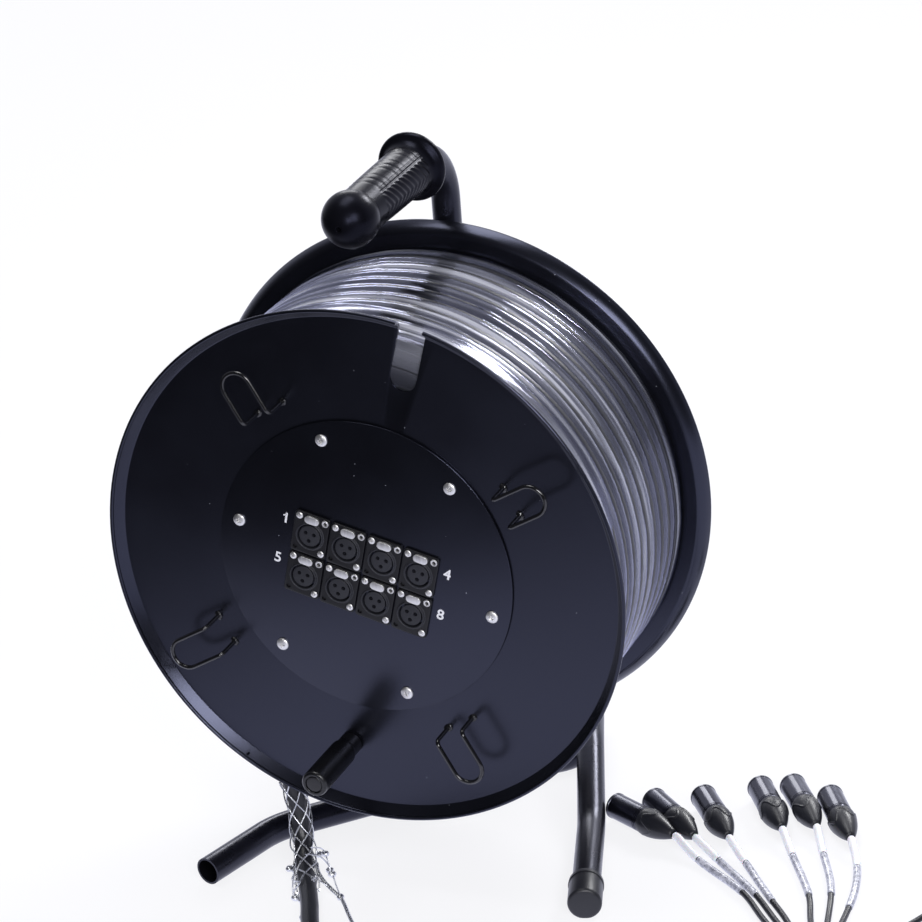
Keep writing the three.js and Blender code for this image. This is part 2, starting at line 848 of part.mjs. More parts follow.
const tails = [
  { front: [118.5, 51], turn: -27, via: [[196, 7.3], [242, -27.8], [266, -56]] },
  { front: [142, 66.2], turn: -41.6, via: [[211, 9.5], [250.5, -27], [273.5, -54]] },
  { front: [174.3, 81.1], turn: -53.2, via: [[229.5, 12.5], [262.4, -29.5], [281, -52]] },
  { front: [209, 104.8], turn: -56.4, via: [[257.9, 31.1], [286.6, -18.5], [297, -46.5]] },
  { front: [230.3, 113.8], turn: -55.6, via: [[276, 43], [297, -2], [308.6, -43.6]] },
  { front: [261.1, 105.9], turn: -58.2, via: [[304, 34], [314, 0], [319, -41]] },
  { front: [347, 137], turn: -69.5, via: [[373, 55], [375, -5], [350, -62]] },
  { front: [377, 140], turn: -78.5, via: [[392, 50], [391, -15], [364, -66]] },
];

const smooth = (points, steps) =>
  new THREE.CatmullRomCurve3(points, false, "centripetal").getSpacedPoints(steps);

// A cord's points, with a straight run of one diameter at each end so that its faces sit square
function cordRoute(start, startHeading, via, end, endHeading, diameter, steps) {
  const first = start.clone().addScaledVector(startHeading, diameter);
  const last = end.clone().addScaledVector(endHeading, -diameter);
  return [start, ...smooth([first, ...via.map(atHeight), last], steps), end];
}

const splitterHeading = along(Math.cos(splitterTurn), Math.sin(splitterTurn), 0);
const splitterSide = along(Math.sin(splitterTurn), -Math.cos(splitterTurn), 0);
const splitterFront = atHeight(splitterFace);
const splitterBack = splitterFront.clone().addScaledVector(splitterHeading, -splitterLength);
const freePoints = cordRoute(
  leadEnd,
  windingHeading(turnCount),
  freeRoute,
  splitterBack.clone().addScaledVector(splitterHeading, -seatGap),
  splitterHeading,
  cableDiameter,
  freeSteps,
);
addPiece(drumCentre, "free_cable", tubeAlong(freePoints, cableRadius, freeSides), cableJacket);

// Wire cable grip: a sleeve round the cable with its pull rope
function cableGrip() {
  const path = freePoints.slice(sleeveFrom, sleeveTo + 1);
  const sleeve = tubeAlong(path, sleeveRadius, freeSides, sleeveRadius - sleeveWall);
  const rope = tubeAlong(smooth(ropeRoute.map(atHeight), ropeSteps), ropeRadius, wireSides);
  return joined([sleeve, rope]);
}

addPiece(drumCentre, "cable_grip", cableGrip(), zincSteel);

const pointAlong = (geometry, at, heading) => {
  const turn = new THREE.Quaternion().setFromUnitVectors(along(0, 1, 0), heading);
  return geometry.applyQuaternion(turn).translate(...at.toArray());
};

const splitterProfile = [
  [0, 0],
  [splitterNeckRadius, 0],
  [splitterRadius, splitterLength * splitterFlareShare],
  [splitterRadius, splitterLength],
  [0, splitterLength],
];
const splitter = pointAlong(lathe(splitterProfile, 16), splitterBack, splitterHeading);
addPiece(drumCentre, "splitter_boot", splitter, blackRubber);

const plugLength = plugShellLength + plugBootLength;
const plugProfile = [
  [0, plugMouthDepth],
  [plugMouthRadius, plugMouthDepth],
  [plugMouthRadius, 0],
  [plugShellRadius, 0],
  [plugShellRadius, plugShellLength],
  [plugBootStartRadius, plugShellLength],
  [plugBootEndRadius, plugLength],
  [0, plugLength],
];

tails.forEach(({ front, turn, via }, k) => {
  const angle = THREE.MathUtils.degToRad(turn);
  const heading = along(Math.cos(angle), Math.sin(angle), 0);
  const mouth = atHeight([...front, plugShellRadius]);
  const plug = pointAlong(lathe(plugProfile, 12), mouth, heading);
  addPiece(drumCentre, "plug_" + (k + 1), plug, castZinc);
  const bootEnd = mouth.clone().addScaledVector(heading, plugLength + seatGap);
  const place = k - (tailCount - 1) / 2;
  const lift = k % 2 === 0 ? -tailRowLift : tailRowLift;
  const root = splitterFront.clone().addScaledVector(splitterSide, place * tailRowPitch);
  root.addScaledVector(splitterHeading, seatGap).add(along(0, 0, lift));
  const points = cordRoute(
    bootEnd,
    heading,
    via.map(([x, y]) => [x, y, tailLayingHeight]),
    root,
    splitterHeading.clone().negate(),
    tailDiameter,
    tailSteps,
  );
  addPiece(drumCentre, "tail_cable_" + (k + 1), tubeAlong(points, tailRadius, tailSides), cableJacket);
});

export default drumCentre;
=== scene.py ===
import json
from math import acos, atan2, copysign, cos, degrees, exp, hypot, pi, radians, sin, sqrt, tan

import bmesh
import bpy
from mathutils import Matrix, Vector, noise


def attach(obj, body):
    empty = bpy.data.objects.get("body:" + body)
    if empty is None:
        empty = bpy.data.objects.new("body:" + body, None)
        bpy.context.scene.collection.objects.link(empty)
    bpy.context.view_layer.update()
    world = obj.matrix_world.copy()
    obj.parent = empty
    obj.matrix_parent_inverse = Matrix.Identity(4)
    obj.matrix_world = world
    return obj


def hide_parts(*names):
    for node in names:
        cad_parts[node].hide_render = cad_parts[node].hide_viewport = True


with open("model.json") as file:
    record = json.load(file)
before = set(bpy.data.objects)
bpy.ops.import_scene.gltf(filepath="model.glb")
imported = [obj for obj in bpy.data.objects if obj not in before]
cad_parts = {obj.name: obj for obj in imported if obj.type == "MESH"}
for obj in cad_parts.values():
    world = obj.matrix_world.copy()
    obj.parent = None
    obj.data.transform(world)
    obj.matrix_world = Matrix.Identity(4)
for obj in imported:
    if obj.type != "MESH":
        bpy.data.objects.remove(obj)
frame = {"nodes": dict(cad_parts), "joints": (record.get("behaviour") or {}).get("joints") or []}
for spare in ("Cube", "Light", "Camera"):  # what a new Blender file starts with
    if spare in bpy.data.objects:
        bpy.data.objects.remove(bpy.data.objects[spare])
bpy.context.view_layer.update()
print("packed frame loaded:", len(frame["nodes"]), "nodes")

mm = 0.001
joints = {joint["name"]: joint for joint in frame["joints"]}
axle = Vector(joints["drum_spin"]["pos_m"]) / mm


# Places and frames
def polar(radius, turn):
    return radius * cos(turn), radius * sin(turn)


def axes(right, up, out, origin):
    turn = Matrix((right, up, out)).transposed().to_4x4()
    return Matrix.Translation(origin) @ turn


def turned(angle, axis="Z"):
    return Matrix.Rotation(angle, 4, axis)


def shifted(*place):
    return Matrix.Translation(place)


# Drum sizes that several pieces share, in millimetres from the axle
drum = {
    "halfGap": 76.3,  # to the flat outside of each flange
    "radius": 190,
    "plateTurn": radians(-13.7),
}
faceFrame = axes((1, 0, 0), (0, 0, 1), (0, -1, 0), axle + Vector((0, -drum["halfGap"], 0)))
rearFrame = axes((1, 0, 0), (0, 0, -1), (0, 1, 0), axle + Vector((0, drum["halfGap"], 0)))
plateFrame = faceFrame @ turned(drum["plateTurn"])
windingFrame = Matrix.Translation(axle) @ turned(-pi / 2, "X")


# Mesh helpers. A mesh is in millimetres until its piece is finished
def profileSpin(profile, steps, closed=False):
    bm = bmesh.new()
    line = [bm.verts.new((radius, 0, height)) for radius, height in profile]
    edges = [bm.edges.new(pair) for pair in zip(line, line[1:])]
    if closed:
        edges.append(bm.edges.new((line[-1], line[0])))
    bmesh.ops.spin(
        bm, geom=line + edges, cent=(0, 0, 0), axis=(0, 0, 1), dvec=(0, 0, 0),
        angle=2 * pi, steps=steps, use_merge=True, use_duplicate=False,
    )
    bmesh.ops.remove_doubles(bm, verts=bm.verts, dist=0.0005)
    faceOut(bm)
    return bm


def faceOut(bm):
    bmesh.ops.recalc_face_normals(bm, faces=bm.faces)


def arc(radius, centre, start, end, steps):
    turns = [radians(start + (end - start) * k / steps) for k in range(steps + 1)]
    return [(centre[0] + across, centre[1] + along) for across, along in (polar(radius, t) for t in turns)]


def rounded(bm, geom, width, segments, kind="EDGES"):
    bmesh.ops.bevel(
        bm, geom=geom, offset=width, offset_type="OFFSET", affect=kind,
        segments=segments, profile=0.5, material=-1, clamp_overlap=True,
    )


def move(bm, by, verts=None):
    bmesh.ops.translate(bm, verts=bm.verts if verts is None else verts, vec=by)
    return bm


def resize(bm, by, verts=None):
    bmesh.ops.scale(bm, verts=bm.verts if verts is None else verts, vec=by)


def vertsOf(geom):
    return [v for v in geom if isinstance(v, bmesh.types.BMVert)]


def swell(v, share):
    v.co.x, v.co.y = v.co.x * share, v.co.y * share


def cutBy(bm, cutters):
    base = meshObject("cutBase", bm)
    tools = [meshObject("cutTool", cutter) for cutter in cutters]
    for tool in tools:
        change = base.modifiers.new("cut", "BOOLEAN")
        change.operation, change.object, change.solver = "DIFFERENCE", tool, "EXACT"
    bpy.context.view_layer.update()
    cut = bmesh.new()
    cut.from_object(base, bpy.context.evaluated_depsgraph_get())
    for spent in [base, *tools]:
        bpy.data.objects.remove(spent)
    bmesh.ops.remove_doubles(cut, verts=cut.verts, dist=0.0005)
    return cut


def roundedBlock(width, height, corner, low, high, edge=0.0, segments=6):
    bm = bmesh.new()
    bmesh.ops.create_grid(bm, x_segments=1, y_segments=1, size=0.5)
    resize(bm, (width, height, 1))
    rounded(bm, bm.verts[:], corner, segments, "VERTICES")
    move(bm, (0, 0, low))
    raised = bmesh.ops.extrude_face_region(bm, geom=bm.faces[:])["geom"]
    move(bm, (0, 0, high - low), vertsOf(raised))
    faceOut(bm)
    if edge:
        rim = [e for e in bm.edges if all(v.co.z > high - 0.001 for v in e.verts)]
        rounded(bm, rim, edge, 3)
    return bm


def cylinder(radius, low, high, centre=(0, 0), segments=40):
    bm = bmesh.new()
    bmesh.ops.create_cone(
        bm, segments=segments, radius1=radius, radius2=radius, depth=high - low, cap_ends=True,
    )
    return move(bm, (*centre, (low + high) / 2))


def addObject(name, data):
    obj = bpy.data.objects.new(name, data)
    bpy.context.scene.collection.objects.link(obj)
    return obj


def meshObject(name, bm):
    mesh = bpy.data.meshes.new(name)
    bm.to_mesh(mesh)
    bm.free()
    return addObject(name, mesh)


def smoothTo(mesh, angle):
    mesh.shade_smooth()
    mesh.set_sharp_from_angle(angle=radians(angle))


def finishPiece(name, bm, finish, body, place=None, node=None, smooth=35):
    bm.transform(Matrix.Scale(mm, 4) @ (place or Matrix()))
    obj = meshObject(name, bm)
    obj.data.materials.append(finishes[finish])
    smoothTo(obj.data, smooth)
    return seatPiece(obj, body, node)


def seatPiece(obj, body, node=None):
    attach(obj, body)
    if node:
        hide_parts(node)
    return obj


def wireMesh(name, routes, radius, finish, sides=12, caps=True):
    data = bpy.data.curves.new(name, "CURVE")
    data.dimensions, data.bevel_depth = "3D", radius * mm
    data.bevel_resolution, data.use_fill_caps = (sides - 4) // 2, caps
    for route in routes:
        spline = data.splines.new("POLY")
        spline.points.add(len(route) - 1)
        for point, place in zip(spline.points, route):
            point.co = (*(place * mm), 1)
    data.materials.append(finishes[finish])
    return addObject(name, data)


def asMesh(obj):
    bpy.context.view_layer.update()
    solved = obj.evaluated_get(bpy.context.evaluated_depsgraph_get())
    solid = bpy.data.meshes.new_from_object(solved)
    name = obj.name
    bpy.data.objects.remove(obj)
    smoothTo(solid, 60)
    return addObject(name, solid)


# Routes of wires, tubes and cords
def smoothRoute(points, spacing=4):
    ends = [points[0] * 2 - points[1], *points, points[-1] * 2 - points[-2]]
    route = []
    for four in zip(ends, ends[1:], ends[2:], ends[3:]):
        knots = [0]
        for a, b in zip(four, four[1:]):
            knots.append(knots[-1] + (b - a).length ** 0.5)
        steps = max(1, round((four[2] - four[1]).length / spacing))
        for k in range(steps):
            t = knots[1] + (knots[2] - knots[1]) * k / steps
            near = blend(four, knots, knots[1:], t)
            wide = blend(near, knots, knots[2:], t)
            route += blend(wide, knots[1:], knots[2:3], t)
    return route + [points[-1]]


def blend(places, starts, ends, t):
    return [
        a.lerp(b, (t - start) / (end - start))
        for a, b, start, end in zip(places, places[1:], starts, ends)
    ]


def bentRoute(corners, radii, steps):
    route = [corners[0]]
    for before, corner, after, radius in zip(corners, corners[1:], corners[2:], radii):
        inward, outward = (corner - before).normalized(), (after - corner).normalized()
        angle = inward.angle(outward)
        start = corner - inward * radius * tan(angle / 2)
        side = (outward - inward * outward.dot(inward)).normalized()
        for k in range(steps + 1):
            turn = angle * k / steps
            route.append(start + inward * radius * sin(turn) + side * radius * (1 - cos(turn)))
    return route + [corners[-1]]


def routeLength(route):
    return sum((b - a).length for a, b in zip(route, route[1:]))


def routeFrames(route):
    # for each point its run from the start and two sides, carried along without twist
    frames = []
    run, before = 0, route[0]
    side = (route[1] - route[0]).orthogonal().normalized()
    for k, point in enumerate(route):
        run += (point - before).length
        before = point
        heading = (route[min(k + 1, len(route) - 1)] - route[max(k - 1, 0)]).normalized()
        side = (side - heading * side.dot(heading)).normalized()
        frames.append((point, run, side, heading.cross(side)))
    return frames


# Materials. Sizes of a pattern are in millimetres
def linear(code):
    parts = [int(code[k:k + 2], 16) / 255 for k in (1, 3, 5)]
    return (*[c / 12.92 if c <= 0.04045 else ((c + 0.055) / 1.055) ** 2.4 for c in parts], 1)


def setSockets(tree, node, sockets):
    for key, value in sockets.items():
        if isinstance(value, bpy.types.NodeSocket):
            tree.links.new(value, node.inputs[key])
        else:
            node.inputs[key].default_value = value
    return node


def addNode(tree, kind, sockets=None, **settings):
    node = tree.nodes.new("ShaderNode" + kind)
    for key, value in settings.items():
        setattr(node, key, value)
    return setSockets(tree, node, sockets or {})


def newMaterial(name):
    material = bpy.data.materials.new(name)
    material.use_nodes = True
    tree = material.node_tree
    return material, tree, tree.nodes["Principled BSDF"]


def objectPlace(tree):
    return addNode(tree, "TexCoord").outputs["Object"]


def noiseOf(tree, place, size, detail=2.0, roughness=0.5):
    sockets = {"Vector": place, "Scale": 1 / (size * mm), "Detail": detail, "Roughness": roughness}
    return addNode(tree, "TexNoise", sockets).outputs["Fac"]


def rangeOf(tree, value, source, target, **settings):
    limits = dict(zip(("From Min", "From Max", "To Min", "To Max"), (*source, *target)))
    return addNode(tree, "MapRange", {"Value": value, **limits}, **settings).outputs["Result"]


def bumpOf(tree, height, strength, depth):
    sockets = {"Height": height, "Strength": strength, "Distance": depth * mm}
    return addNode(tree, "Bump", sockets).outputs["Normal"]


def mathOf(tree, operation, first, second):
    return addNode(tree, "Math", {0: first, 1: second}, operation=operation).outputs["Value"]


def mixOf(tree, share, first, second):
    return addNode(tree, "MixShader", {"Fac": share, 1: first, 2: second}).outputs["Shader"]


def shaderOf(tree, kind, **sockets):
    return addNode(tree, kind, sockets).outputs[0]


def ramp(tree, value, stops):
    node = addNode(tree, "ValToRGB", {"Fac": value})
    marks = node.color_ramp.elements
    while len(marks) < len(stops):
        marks.new(0.5)
    for mark, (place, colour) in zip(marks, stops):
        mark.position = place
        mark.color = linear(colour) if isinstance(colour, str) else (colour, colour, colour, 1)
    return node.outputs["Color"]


def showSurface(tree, surface, output="Material Output"):
    tree.links.new(surface, tree.nodes[output].inputs["Surface"])


def wornSurface(name, base, worn, roughness, grain, bump, sockets=None, stretch=(1, 1, 1), patch=40):
    # a finish with its fine grain as bump, slow patches in its gloss and a little change of colour
    material, tree, shader = newMaterial(name)
    spread = addNode(tree, "Mapping", {"Vector": objectPlace(tree), "Scale": stretch}).outputs["Vector"]
    fine = noiseOf(tree, spread, grain, 3.0)
    slow = noiseOf(tree, spread, patch, 4.0)
    setSockets(tree, shader, {
        **(sockets or {}),
        "Base Color": ramp(tree, slow, [(0.35, base), (0.7, worn)]),
        "Roughness": rangeOf(tree, slow, (0.3, 0.7), roughness),
        "Normal": bumpOf(tree, fine, bump, grain * 0.25),
    })
    return material


def sheen(level, tint):
    return {"Specular IOR Level": level, "Specular Tint": linear(tint)}


# satin polyester powder coat on sheet steel: near black with a soft blue sheen, fine orange peel, dust
def powderCoat():
    material, tree, shader = newMaterial("satinPowderCoat")
    place = objectPlace(tree)
    peel = noiseOf(tree, place, 1.4)
    slow = noiseOf(tree, place, 60, 3.0)
    dust = addNode(tree, "TexVoronoi", {"Vector": place, "Scale": 1 / (10 * mm)})
    size = addNode(tree, "TexWhiteNoise", {"Vector": dust.outputs["Position"]}, noise_dimensions="3D")
    reach = rangeOf(tree, size.outputs["Value"], (0.5, 1.0), (0.0, 0.05))
    speck = mathOf(tree, "LESS_THAN", dust.outputs["Distance"], reach)
    ground = ramp(tree, slow, [(0.3, "#08080b"), (0.75, "#0c0d11")])
    colour = addNode(tree, "MixRGB", {"Fac": speck, "Color1": ground, "Color2": linear("#8c8f98")})
    setSockets(tree, shader, {
        **sheen(0.66, "#d3d9ff"),
        "Base Color": colour.outputs["Color"],
        "Roughness": rangeOf(tree, slow, (0, 1), (0.2, 0.3)),
        "Normal": bumpOf(tree, peel, 0.12, 0.15),
    })
    return material


# cast polyethylene film, many layers thick: clear and glossy; its pale streaks are partly its own milkiness
# where it is drawn out, partly painted reflection of the lamps along the turns
def stretchFilm(streak=5, drawn=1 / 30, layersIor=1.72):
    material, tree, shader = newMaterial("clearStretchFilm")
    along = addNode(tree, "Mapping", {
        "Vector": objectPlace(tree), "Scale": (drawn, 1, drawn), "Location": (0.013, 0.02, -0.0022),
    }).outputs["Vector"]
    streaks = noiseOf(tree, along, streak)
    broad = noiseOf(tree, along, streak * 4)
    # pale streaks in colour and cover: partly the film's milkiness, partly painted reflection
    milkAndPaintedGlare = mathOf(tree, "MULTIPLY", streaks, broad)
    gloss = rangeOf(tree, broad, (0.3, 0.7), (0.09, 0.2))
    normal = bumpOf(tree, streaks, 0.26, 0.8)
    shade = ramp(tree, milkAndPaintedGlare, [(0.16, "#8f93a6"), (0.27, "#b6b9ca"), (0.4, "#eceefa")])
    setSockets(tree, shader, {
        "Specular IOR Level": 0.8, "Base Color": shade, "Roughness": gloss, "Normal": normal,
    })
    layers = addNode(tree, "Fresnel", {"IOR": layersIor, "Normal": normal}).outputs["Fac"]
    through = shaderOf(tree, "BsdfTransparent", Color=linear("#e9eaf2"))
    mirror = shaderOf(tree, "BsdfAnisotropic", Roughness=gloss, Normal=normal, Color=linear("#dcdffb"))
    clear = mixOf(tree, layers, through, mirror)
    cover = ramp(tree, milkAndPaintedGlare, [(0.18, 0.01), (0.27, 0.07), (0.42, 0.4)])
    showSurface(tree, mixOf(tree, cover, clear, shader.outputs["BSDF"]))
    return material


# clear polyolefin sleeve over a paper strip: milky, with a cool gloss
def clearSleeve():
    material, tree, shader = newMaterial("clearLabelSleeve")
    place = objectPlace(tree)
    slow = noiseOf(tree, place, 3.2, 5.0, 0.65)
    fine = noiseOf(tree, place, 1.5)
    setSockets(tree, shader, {
        "IOR": 1.49, "Coat Weight": 0.8, "Coat Roughness": 0.12,
        "Base Color": ramp(tree, slow, [(0.34, "#797b87"), (0.48, "#a6a8b4"), (0.62, "#cfd0da")]),
        "Roughness": ramp(tree, fine, [(0.3, 0.25), (0.7, 0.5)]),
        "Normal": bumpOf(tree, slow, 0.3, 0.4),
    })
    return material


metal = {"Metallic": 1.0}
even = (1, 1, 1)
surfaces = {
    # dipped gloss enamel on wire
    "enamel": (
        "glossEnamelWire", "#0b0b0d", "#131316", (0.14, 0.26), 3, 0.1,
        {"Coat Weight": 0.4, "Coat Roughness": 0.1},
    ),
    # gloss stove lacquer on steel tube: deep black, long handling smears along the gloss
    "tube": ("blackTubeLacquer", "#0a0a0d", "#111116", (0.22, 0.34), 3, 0.1, sheen(0.42, "#d6dafd")),
    # moulded rubber grip: near black, soft blue sheen from the mould
    "grip": ("mouldedGripRubber", "#07070a", "#0d0d12", (0.22, 0.34), 0.9, 0.1, sheen(0.11, "#cfd4ff")),
    # extruded PVC jacket: smooth black with a soft gloss
    "jacket": ("pvcCableJacket", "#17181c", "#24252b", (0.3, 0.46), 2.2, 0.12),
    # nickel plate, brushed before plating: pale, slightly warm
    "nickel": ("brushedNickelPlate", "#e2e1df", "#efeeec", (0.36, 0.52), 0.5, 0.1, metal, (6, 1, 1), 8),
    # black chrome on turned brass: dark grey
    "shell": (
        "blackChromeShell", "#42434d", "#54555f", (0.24, 0.36), 1.2, 0.05, {**metal, "Coat Weight": 0.3},
    ),
    # black electro-coat on zinc die casting
    "casting": (
        "blackCoatedZincCasting", "#0c0c0f", "#131317", (0.28, 0.4), 0.8, 0.15, {"Specular IOR Level": 0.4},
    ),
    # glass filled nylon: matt, dark grey
    "insert": ("nylonInsert", "#1b1c22", "#22232a", (0.5, 0.62), 0.7, 0.2),
    # moulded boot rubber
    "boot": ("bootRubber", "#18191e", "#202127", (0.34, 0.46), 1.1, 0.15),
    # ABS knob, fine spark-eroded texture
    "knob": ("texturedAbs", "#0a0a0d", "#101115", (0.24, 0.36), 0.8, 0.15),
    # white heat-shrink tube: waxy and faintly cool
    "shrink": (
        "whiteHeatShrink", "#eff0f4", "#f6f6f9", (0.32, 0.46), 2.5, 0.15,
        {"Subsurface Weight": 0.1, "Subsurface Scale": 0.002},
    ),
    # galvanised steel wire: bright, uneven zinc
    "wire": ("galvanisedWire", "#c4c6ca", "#e6e7e8", (0.2, 0.36), 0.7, 0.2, metal, even, 6),
    # zinc plated steel
    "zinc": ("zincPlatedSteel", "#a9adb2", "#c3c6c9", (0.28, 0.42), 1.0, 0.15, metal, even, 12),
    # screen printed white ink
    "ink": ("whiteScreenInk", "#e2e3e6", "#f0f0f2", (0.5, 0.62), 0.6, 0.1),
    # turned and gold flashed contact
    "contact": ("goldFlashedContact", "#c79a4a", "#d9b264", (0.2, 0.32), 0.5, 0.1, metal, even, 4),
}
finishes = {key: wornSurface(*values) for key, values in surfaces.items()}
finishes.update(steel=powderCoat(), film=stretchFilm(), clear=clearSleeve())


# The photograph's own viewpoint
camera = {
    "lens": 158.3,
    "sensor": 36,
    "azimuth": 24.63,
    "elevation": 24.28,
    "roll": -4.24,
    "place": (1.0908, -2.3059, 1.4303),
}


def makeCamera():
    azimuth, elevation, roll = (radians(camera[key]) for key in ("azimuth", "elevation", "roll"))
    back = Vector((
        sin(azimuth) * cos(elevation), -cos(azimuth) * cos(elevation), sin(elevation),
    ))
    right = Vector((cos(azimuth), sin(azimuth), 0))
    up = back.cross(right)
    data = bpy.data.cameras.new("photoCamera")
    data.lens, data.sensor_width, data.clip_end = camera["lens"], camera["sensor"], 60
    obj = addObject("photoCamera", data)
    obj.matrix_world = axes(
        right * cos(roll) + up * sin(roll),
        up * cos(roll) - right * sin(roll),
        back, camera["place"],
    )
    bpy.context.scene.camera = obj


makeCamera()
print("camera placed")


# The free cable, its pull rope and the eight tails. Places are x, y from the axle and height above
# the floor, in millimetres, as in the solid model
cable = {
    "diameter": 12.8,
    "radiusOnDrum": 166.6,  # of the outer layer's centre line
    "pitch": 13.4,
    "reach": 67.8,  # of the layer to each side
    "leadTurn": radians(216),
    "gap": 0.3,
    "envelope": 179.9,  # the lead runs straight until it is this far from the axle
    "route": [
        (-79, -67.8, 70), (-74.5, -68, 54), (-71.5, -70, 38), (-68, -76, 23), (-62, -87, 13.5),
        (-55, -101, 9.5), (-46, -117, 8.7), (-36, -136, 8.5), (-26, -157, 8.2), (-12, -180, 6.8),
        (12, -203, 6.5), (48, -222, 6.5), (95, -233, 6.5), (150, -238, 6.5), (205, -240, 6.5),
        (255, -239, 6.5), (296, -234, 6.5), (325, -225, 7.5), (343, -211, 10), (351, -195, 12.5),
    ],
}
splitter = {
    "face": (325, -118, 14),
    "turn": radians(112),
    "length": 52,
    "radius": 14,
    "neck": 9,
}
tail = {
    "diameter": 4.4,
    "height": 3.4,
    "rowPitch": 2.7,
    "rowLift": 2.6,
    "plug": 61.3,  # shell, boot and the seat gap behind it
    "mouthHeight": 9.5,
    "lays": [
        ((118.5, 51), -27, [(196, 7.3), (242, -27.8), (266, -56)]),
        ((142, 66.2), -41.6, [(211, 9.5), (250.5, -27), (273.5, -54)]),
        ((174.3, 81.1), -53.2, [(229.5, 12.5), (262.4, -29.5), (281, -52)]),
        ((209, 104.8), -56.4, [(257.9, 31.1), (286.6, -18.5), (297, -46.5)]),
        ((230.3, 113.8), -55.6, [(276, 43), (297, -2), (308.6, -43.6)]),
        ((261.1, 105.9), -58.2, [(304, 34), (314, 0), (319, -41)]),
        ((347, 137), -69.5, [(373, 55), (375, -5), (350, -62)]),
        ((377, 140), -78.5, [(392, 50), (391, -15), (364, -66)]),
    ],
}
rope = {
    "diameter": 3,
    "strands": 6,  # round a core
    "lay": 0.42,  # turn of a strand per millimetre
    "wire": 1.2,  # of the eye
    "eye": (7.15, 4.2),
    "route": [
        (-52.9, -86.9, 11.5), (-49, -93.5, 9.5), (-42, -100, 7), (-33, -106, 4.5),
        (-23.5, -112, 2.6), (-8, -132, 1.8), (9, -154, 1.8), (24, -173, 1.8),
    ],
}


def floorPoint(place):
    return Vector((place[0], place[1] + axle.y, place[2]))


turnCount = 2 * cable["reach"] / cable["pitch"]


def windingPlace(turn, radius=cable["radiusOnDrum"]):
    across, up = polar(radius, cable["leadTurn"] - 2 * pi * (turnCount - turn))
    return axle + Vector((across, cable["reach"] - turn * cable["pitch"], up))


leadHeading = Vector((-sin(cable["leadTurn"]), 0, cos(cable["leadTurn"])))
leadLength = sqrt(cable["envelope"] ** 2 - cable["radiusOnDrum"] ** 2)
leadEnd = windingPlace(turnCount) + leadHeading * (leadLength + cable["gap"])
splitterHeading = Vector((*polar(1, splitter["turn"]), 0))
splitterSide = Vector((splitterHeading.y, -splitterHeading.x, 0))
splitterFace = floorPoint(splitter["face"])
splitterBack = splitterFace - splitterHeading * splitter["length"]


def cordRoute(start, startHeading, via, end, endHeading, diameter):
    inner = [start + startHeading * diameter, *via, end - endHeading * diameter]
    return [start, *smoothRoute(inner), end]


cableRoute = cordRoute(
    leadEnd, leadHeading, [floorPoint(p) for p in cable["route"]],
    splitterBack - splitterHeading * cable["gap"], splitterHeading, cable["diameter"],
)
ropeRoute = smoothRoute([floorPoint(p) for p in rope["route"]], 1)
tailRoutes = []
plugFrames = []
for k, (front, turn, via) in enumerate(tail["lays"]):
    heading = Vector((*polar(1, radians(turn)), 0))
    mouth = floorPoint((*front, tail["mouthHeight"]))
    plugFrames.append(axes(heading.cross(Vector((0, 0, 1))) * -1, (0, 0, 1), heading, mouth))
    lift = tail["rowLift"] * (1 if k % 2 else -1)
    root = splitterFace + splitterSide * (k - 3.5) * tail["rowPitch"] + splitterHeading * cable["gap"]
    tailRoutes.append(cordRoute(
        root + Vector((0, 0, lift)), splitterHeading,
        [floorPoint((*p, tail["height"])) for p in reversed(via)],
        mouth + heading * tail["plug"], -heading, tail["diameter"],
    ))


def layCord(name, route, diameter, node):
    seatPiece(wireMesh(name, [route], diameter / 2, "jacket", 20), "stand", node)


def declareCord(name, route, diameter, farEnd, stiffness, pieces, **path):
    # called once the pieces on the cord are made
    routeLength(route) * mm


layCord("freeCable", cableRoute, cable["diameter"], "free_cable")
for k, route in enumerate(tailRoutes):
    layCord(f"tail{k + 1}", route, tail["diameter"], f"tail_cable_{k + 1}")
print("cords laid:", round(routeLength(cableRoute)), "mm of cable and", len(tailRoutes), "tails")


# Drum flanges: pressed sheet with a rolled rim, the front one with the slot that parks the cable's end
flange = {
    "opening": 86,
    "hubBore": 14.3,
    "flatTo": 181.75,
    "sheet": 1.6,
    "fold": 3.2,
    "foldTo": -52,
    "lip": (174.85, 12.03),
    "lipRadius": 16,
    "lipTo": -20,
    "crease": 1.1,
    "hem": (188.6, 6.9),
    "hemRadius": 1.4,
    "steps": 192,
    "slotWidth": 19.4,
    "slotDepth": 52,
    "slotTurn": radians(74.8),
    "slotEdge": 0.35,
    "dimple": (186.3, radians(-123)),
    "dimpleRadius": 1,
}


def flangeDisc(bore):
    # flat sheet, a sharp fold to a straight lip inside, a rolled hem, and a lip that rounds over outside
    sheet, fold, crease = flange["sheet"], (flange["flatTo"], flange["fold"]), flange["crease"]
    inner = arc(crease, (flange["flatTo"] - 0.2, crease), -90, -45, 4)
    hem = arc(flange["hemRadius"], flange["hem"], 215, flange["lipTo"], 22)
    lip = arc(flange["lipRadius"], flange["lip"], flange["lipTo"] - 3, flange["foldTo"], 10)
    back = arc(flange["fold"] + sheet, fold, flange["foldTo"] - 5, -90, 8)
    profile = [(bore, 0)] + inner + hem + lip + back + [(bore, -sheet)]
    return profileSpin(profile, flange["steps"], closed=True)


def slotCutter():
    radius = flange["slotWidth"] / 2
    bm = cylinder(radius, -15, 15, segments=64)
    move(bm, (flange["slotDepth"], 0, 0), [v for v in bm.verts if v.co.x > 0.01])
    bm.transform(turned(flange["slotTurn"]) @ shifted(drum["radius"] - flange["slotDepth"] + radius, 0, 0))
    return bm


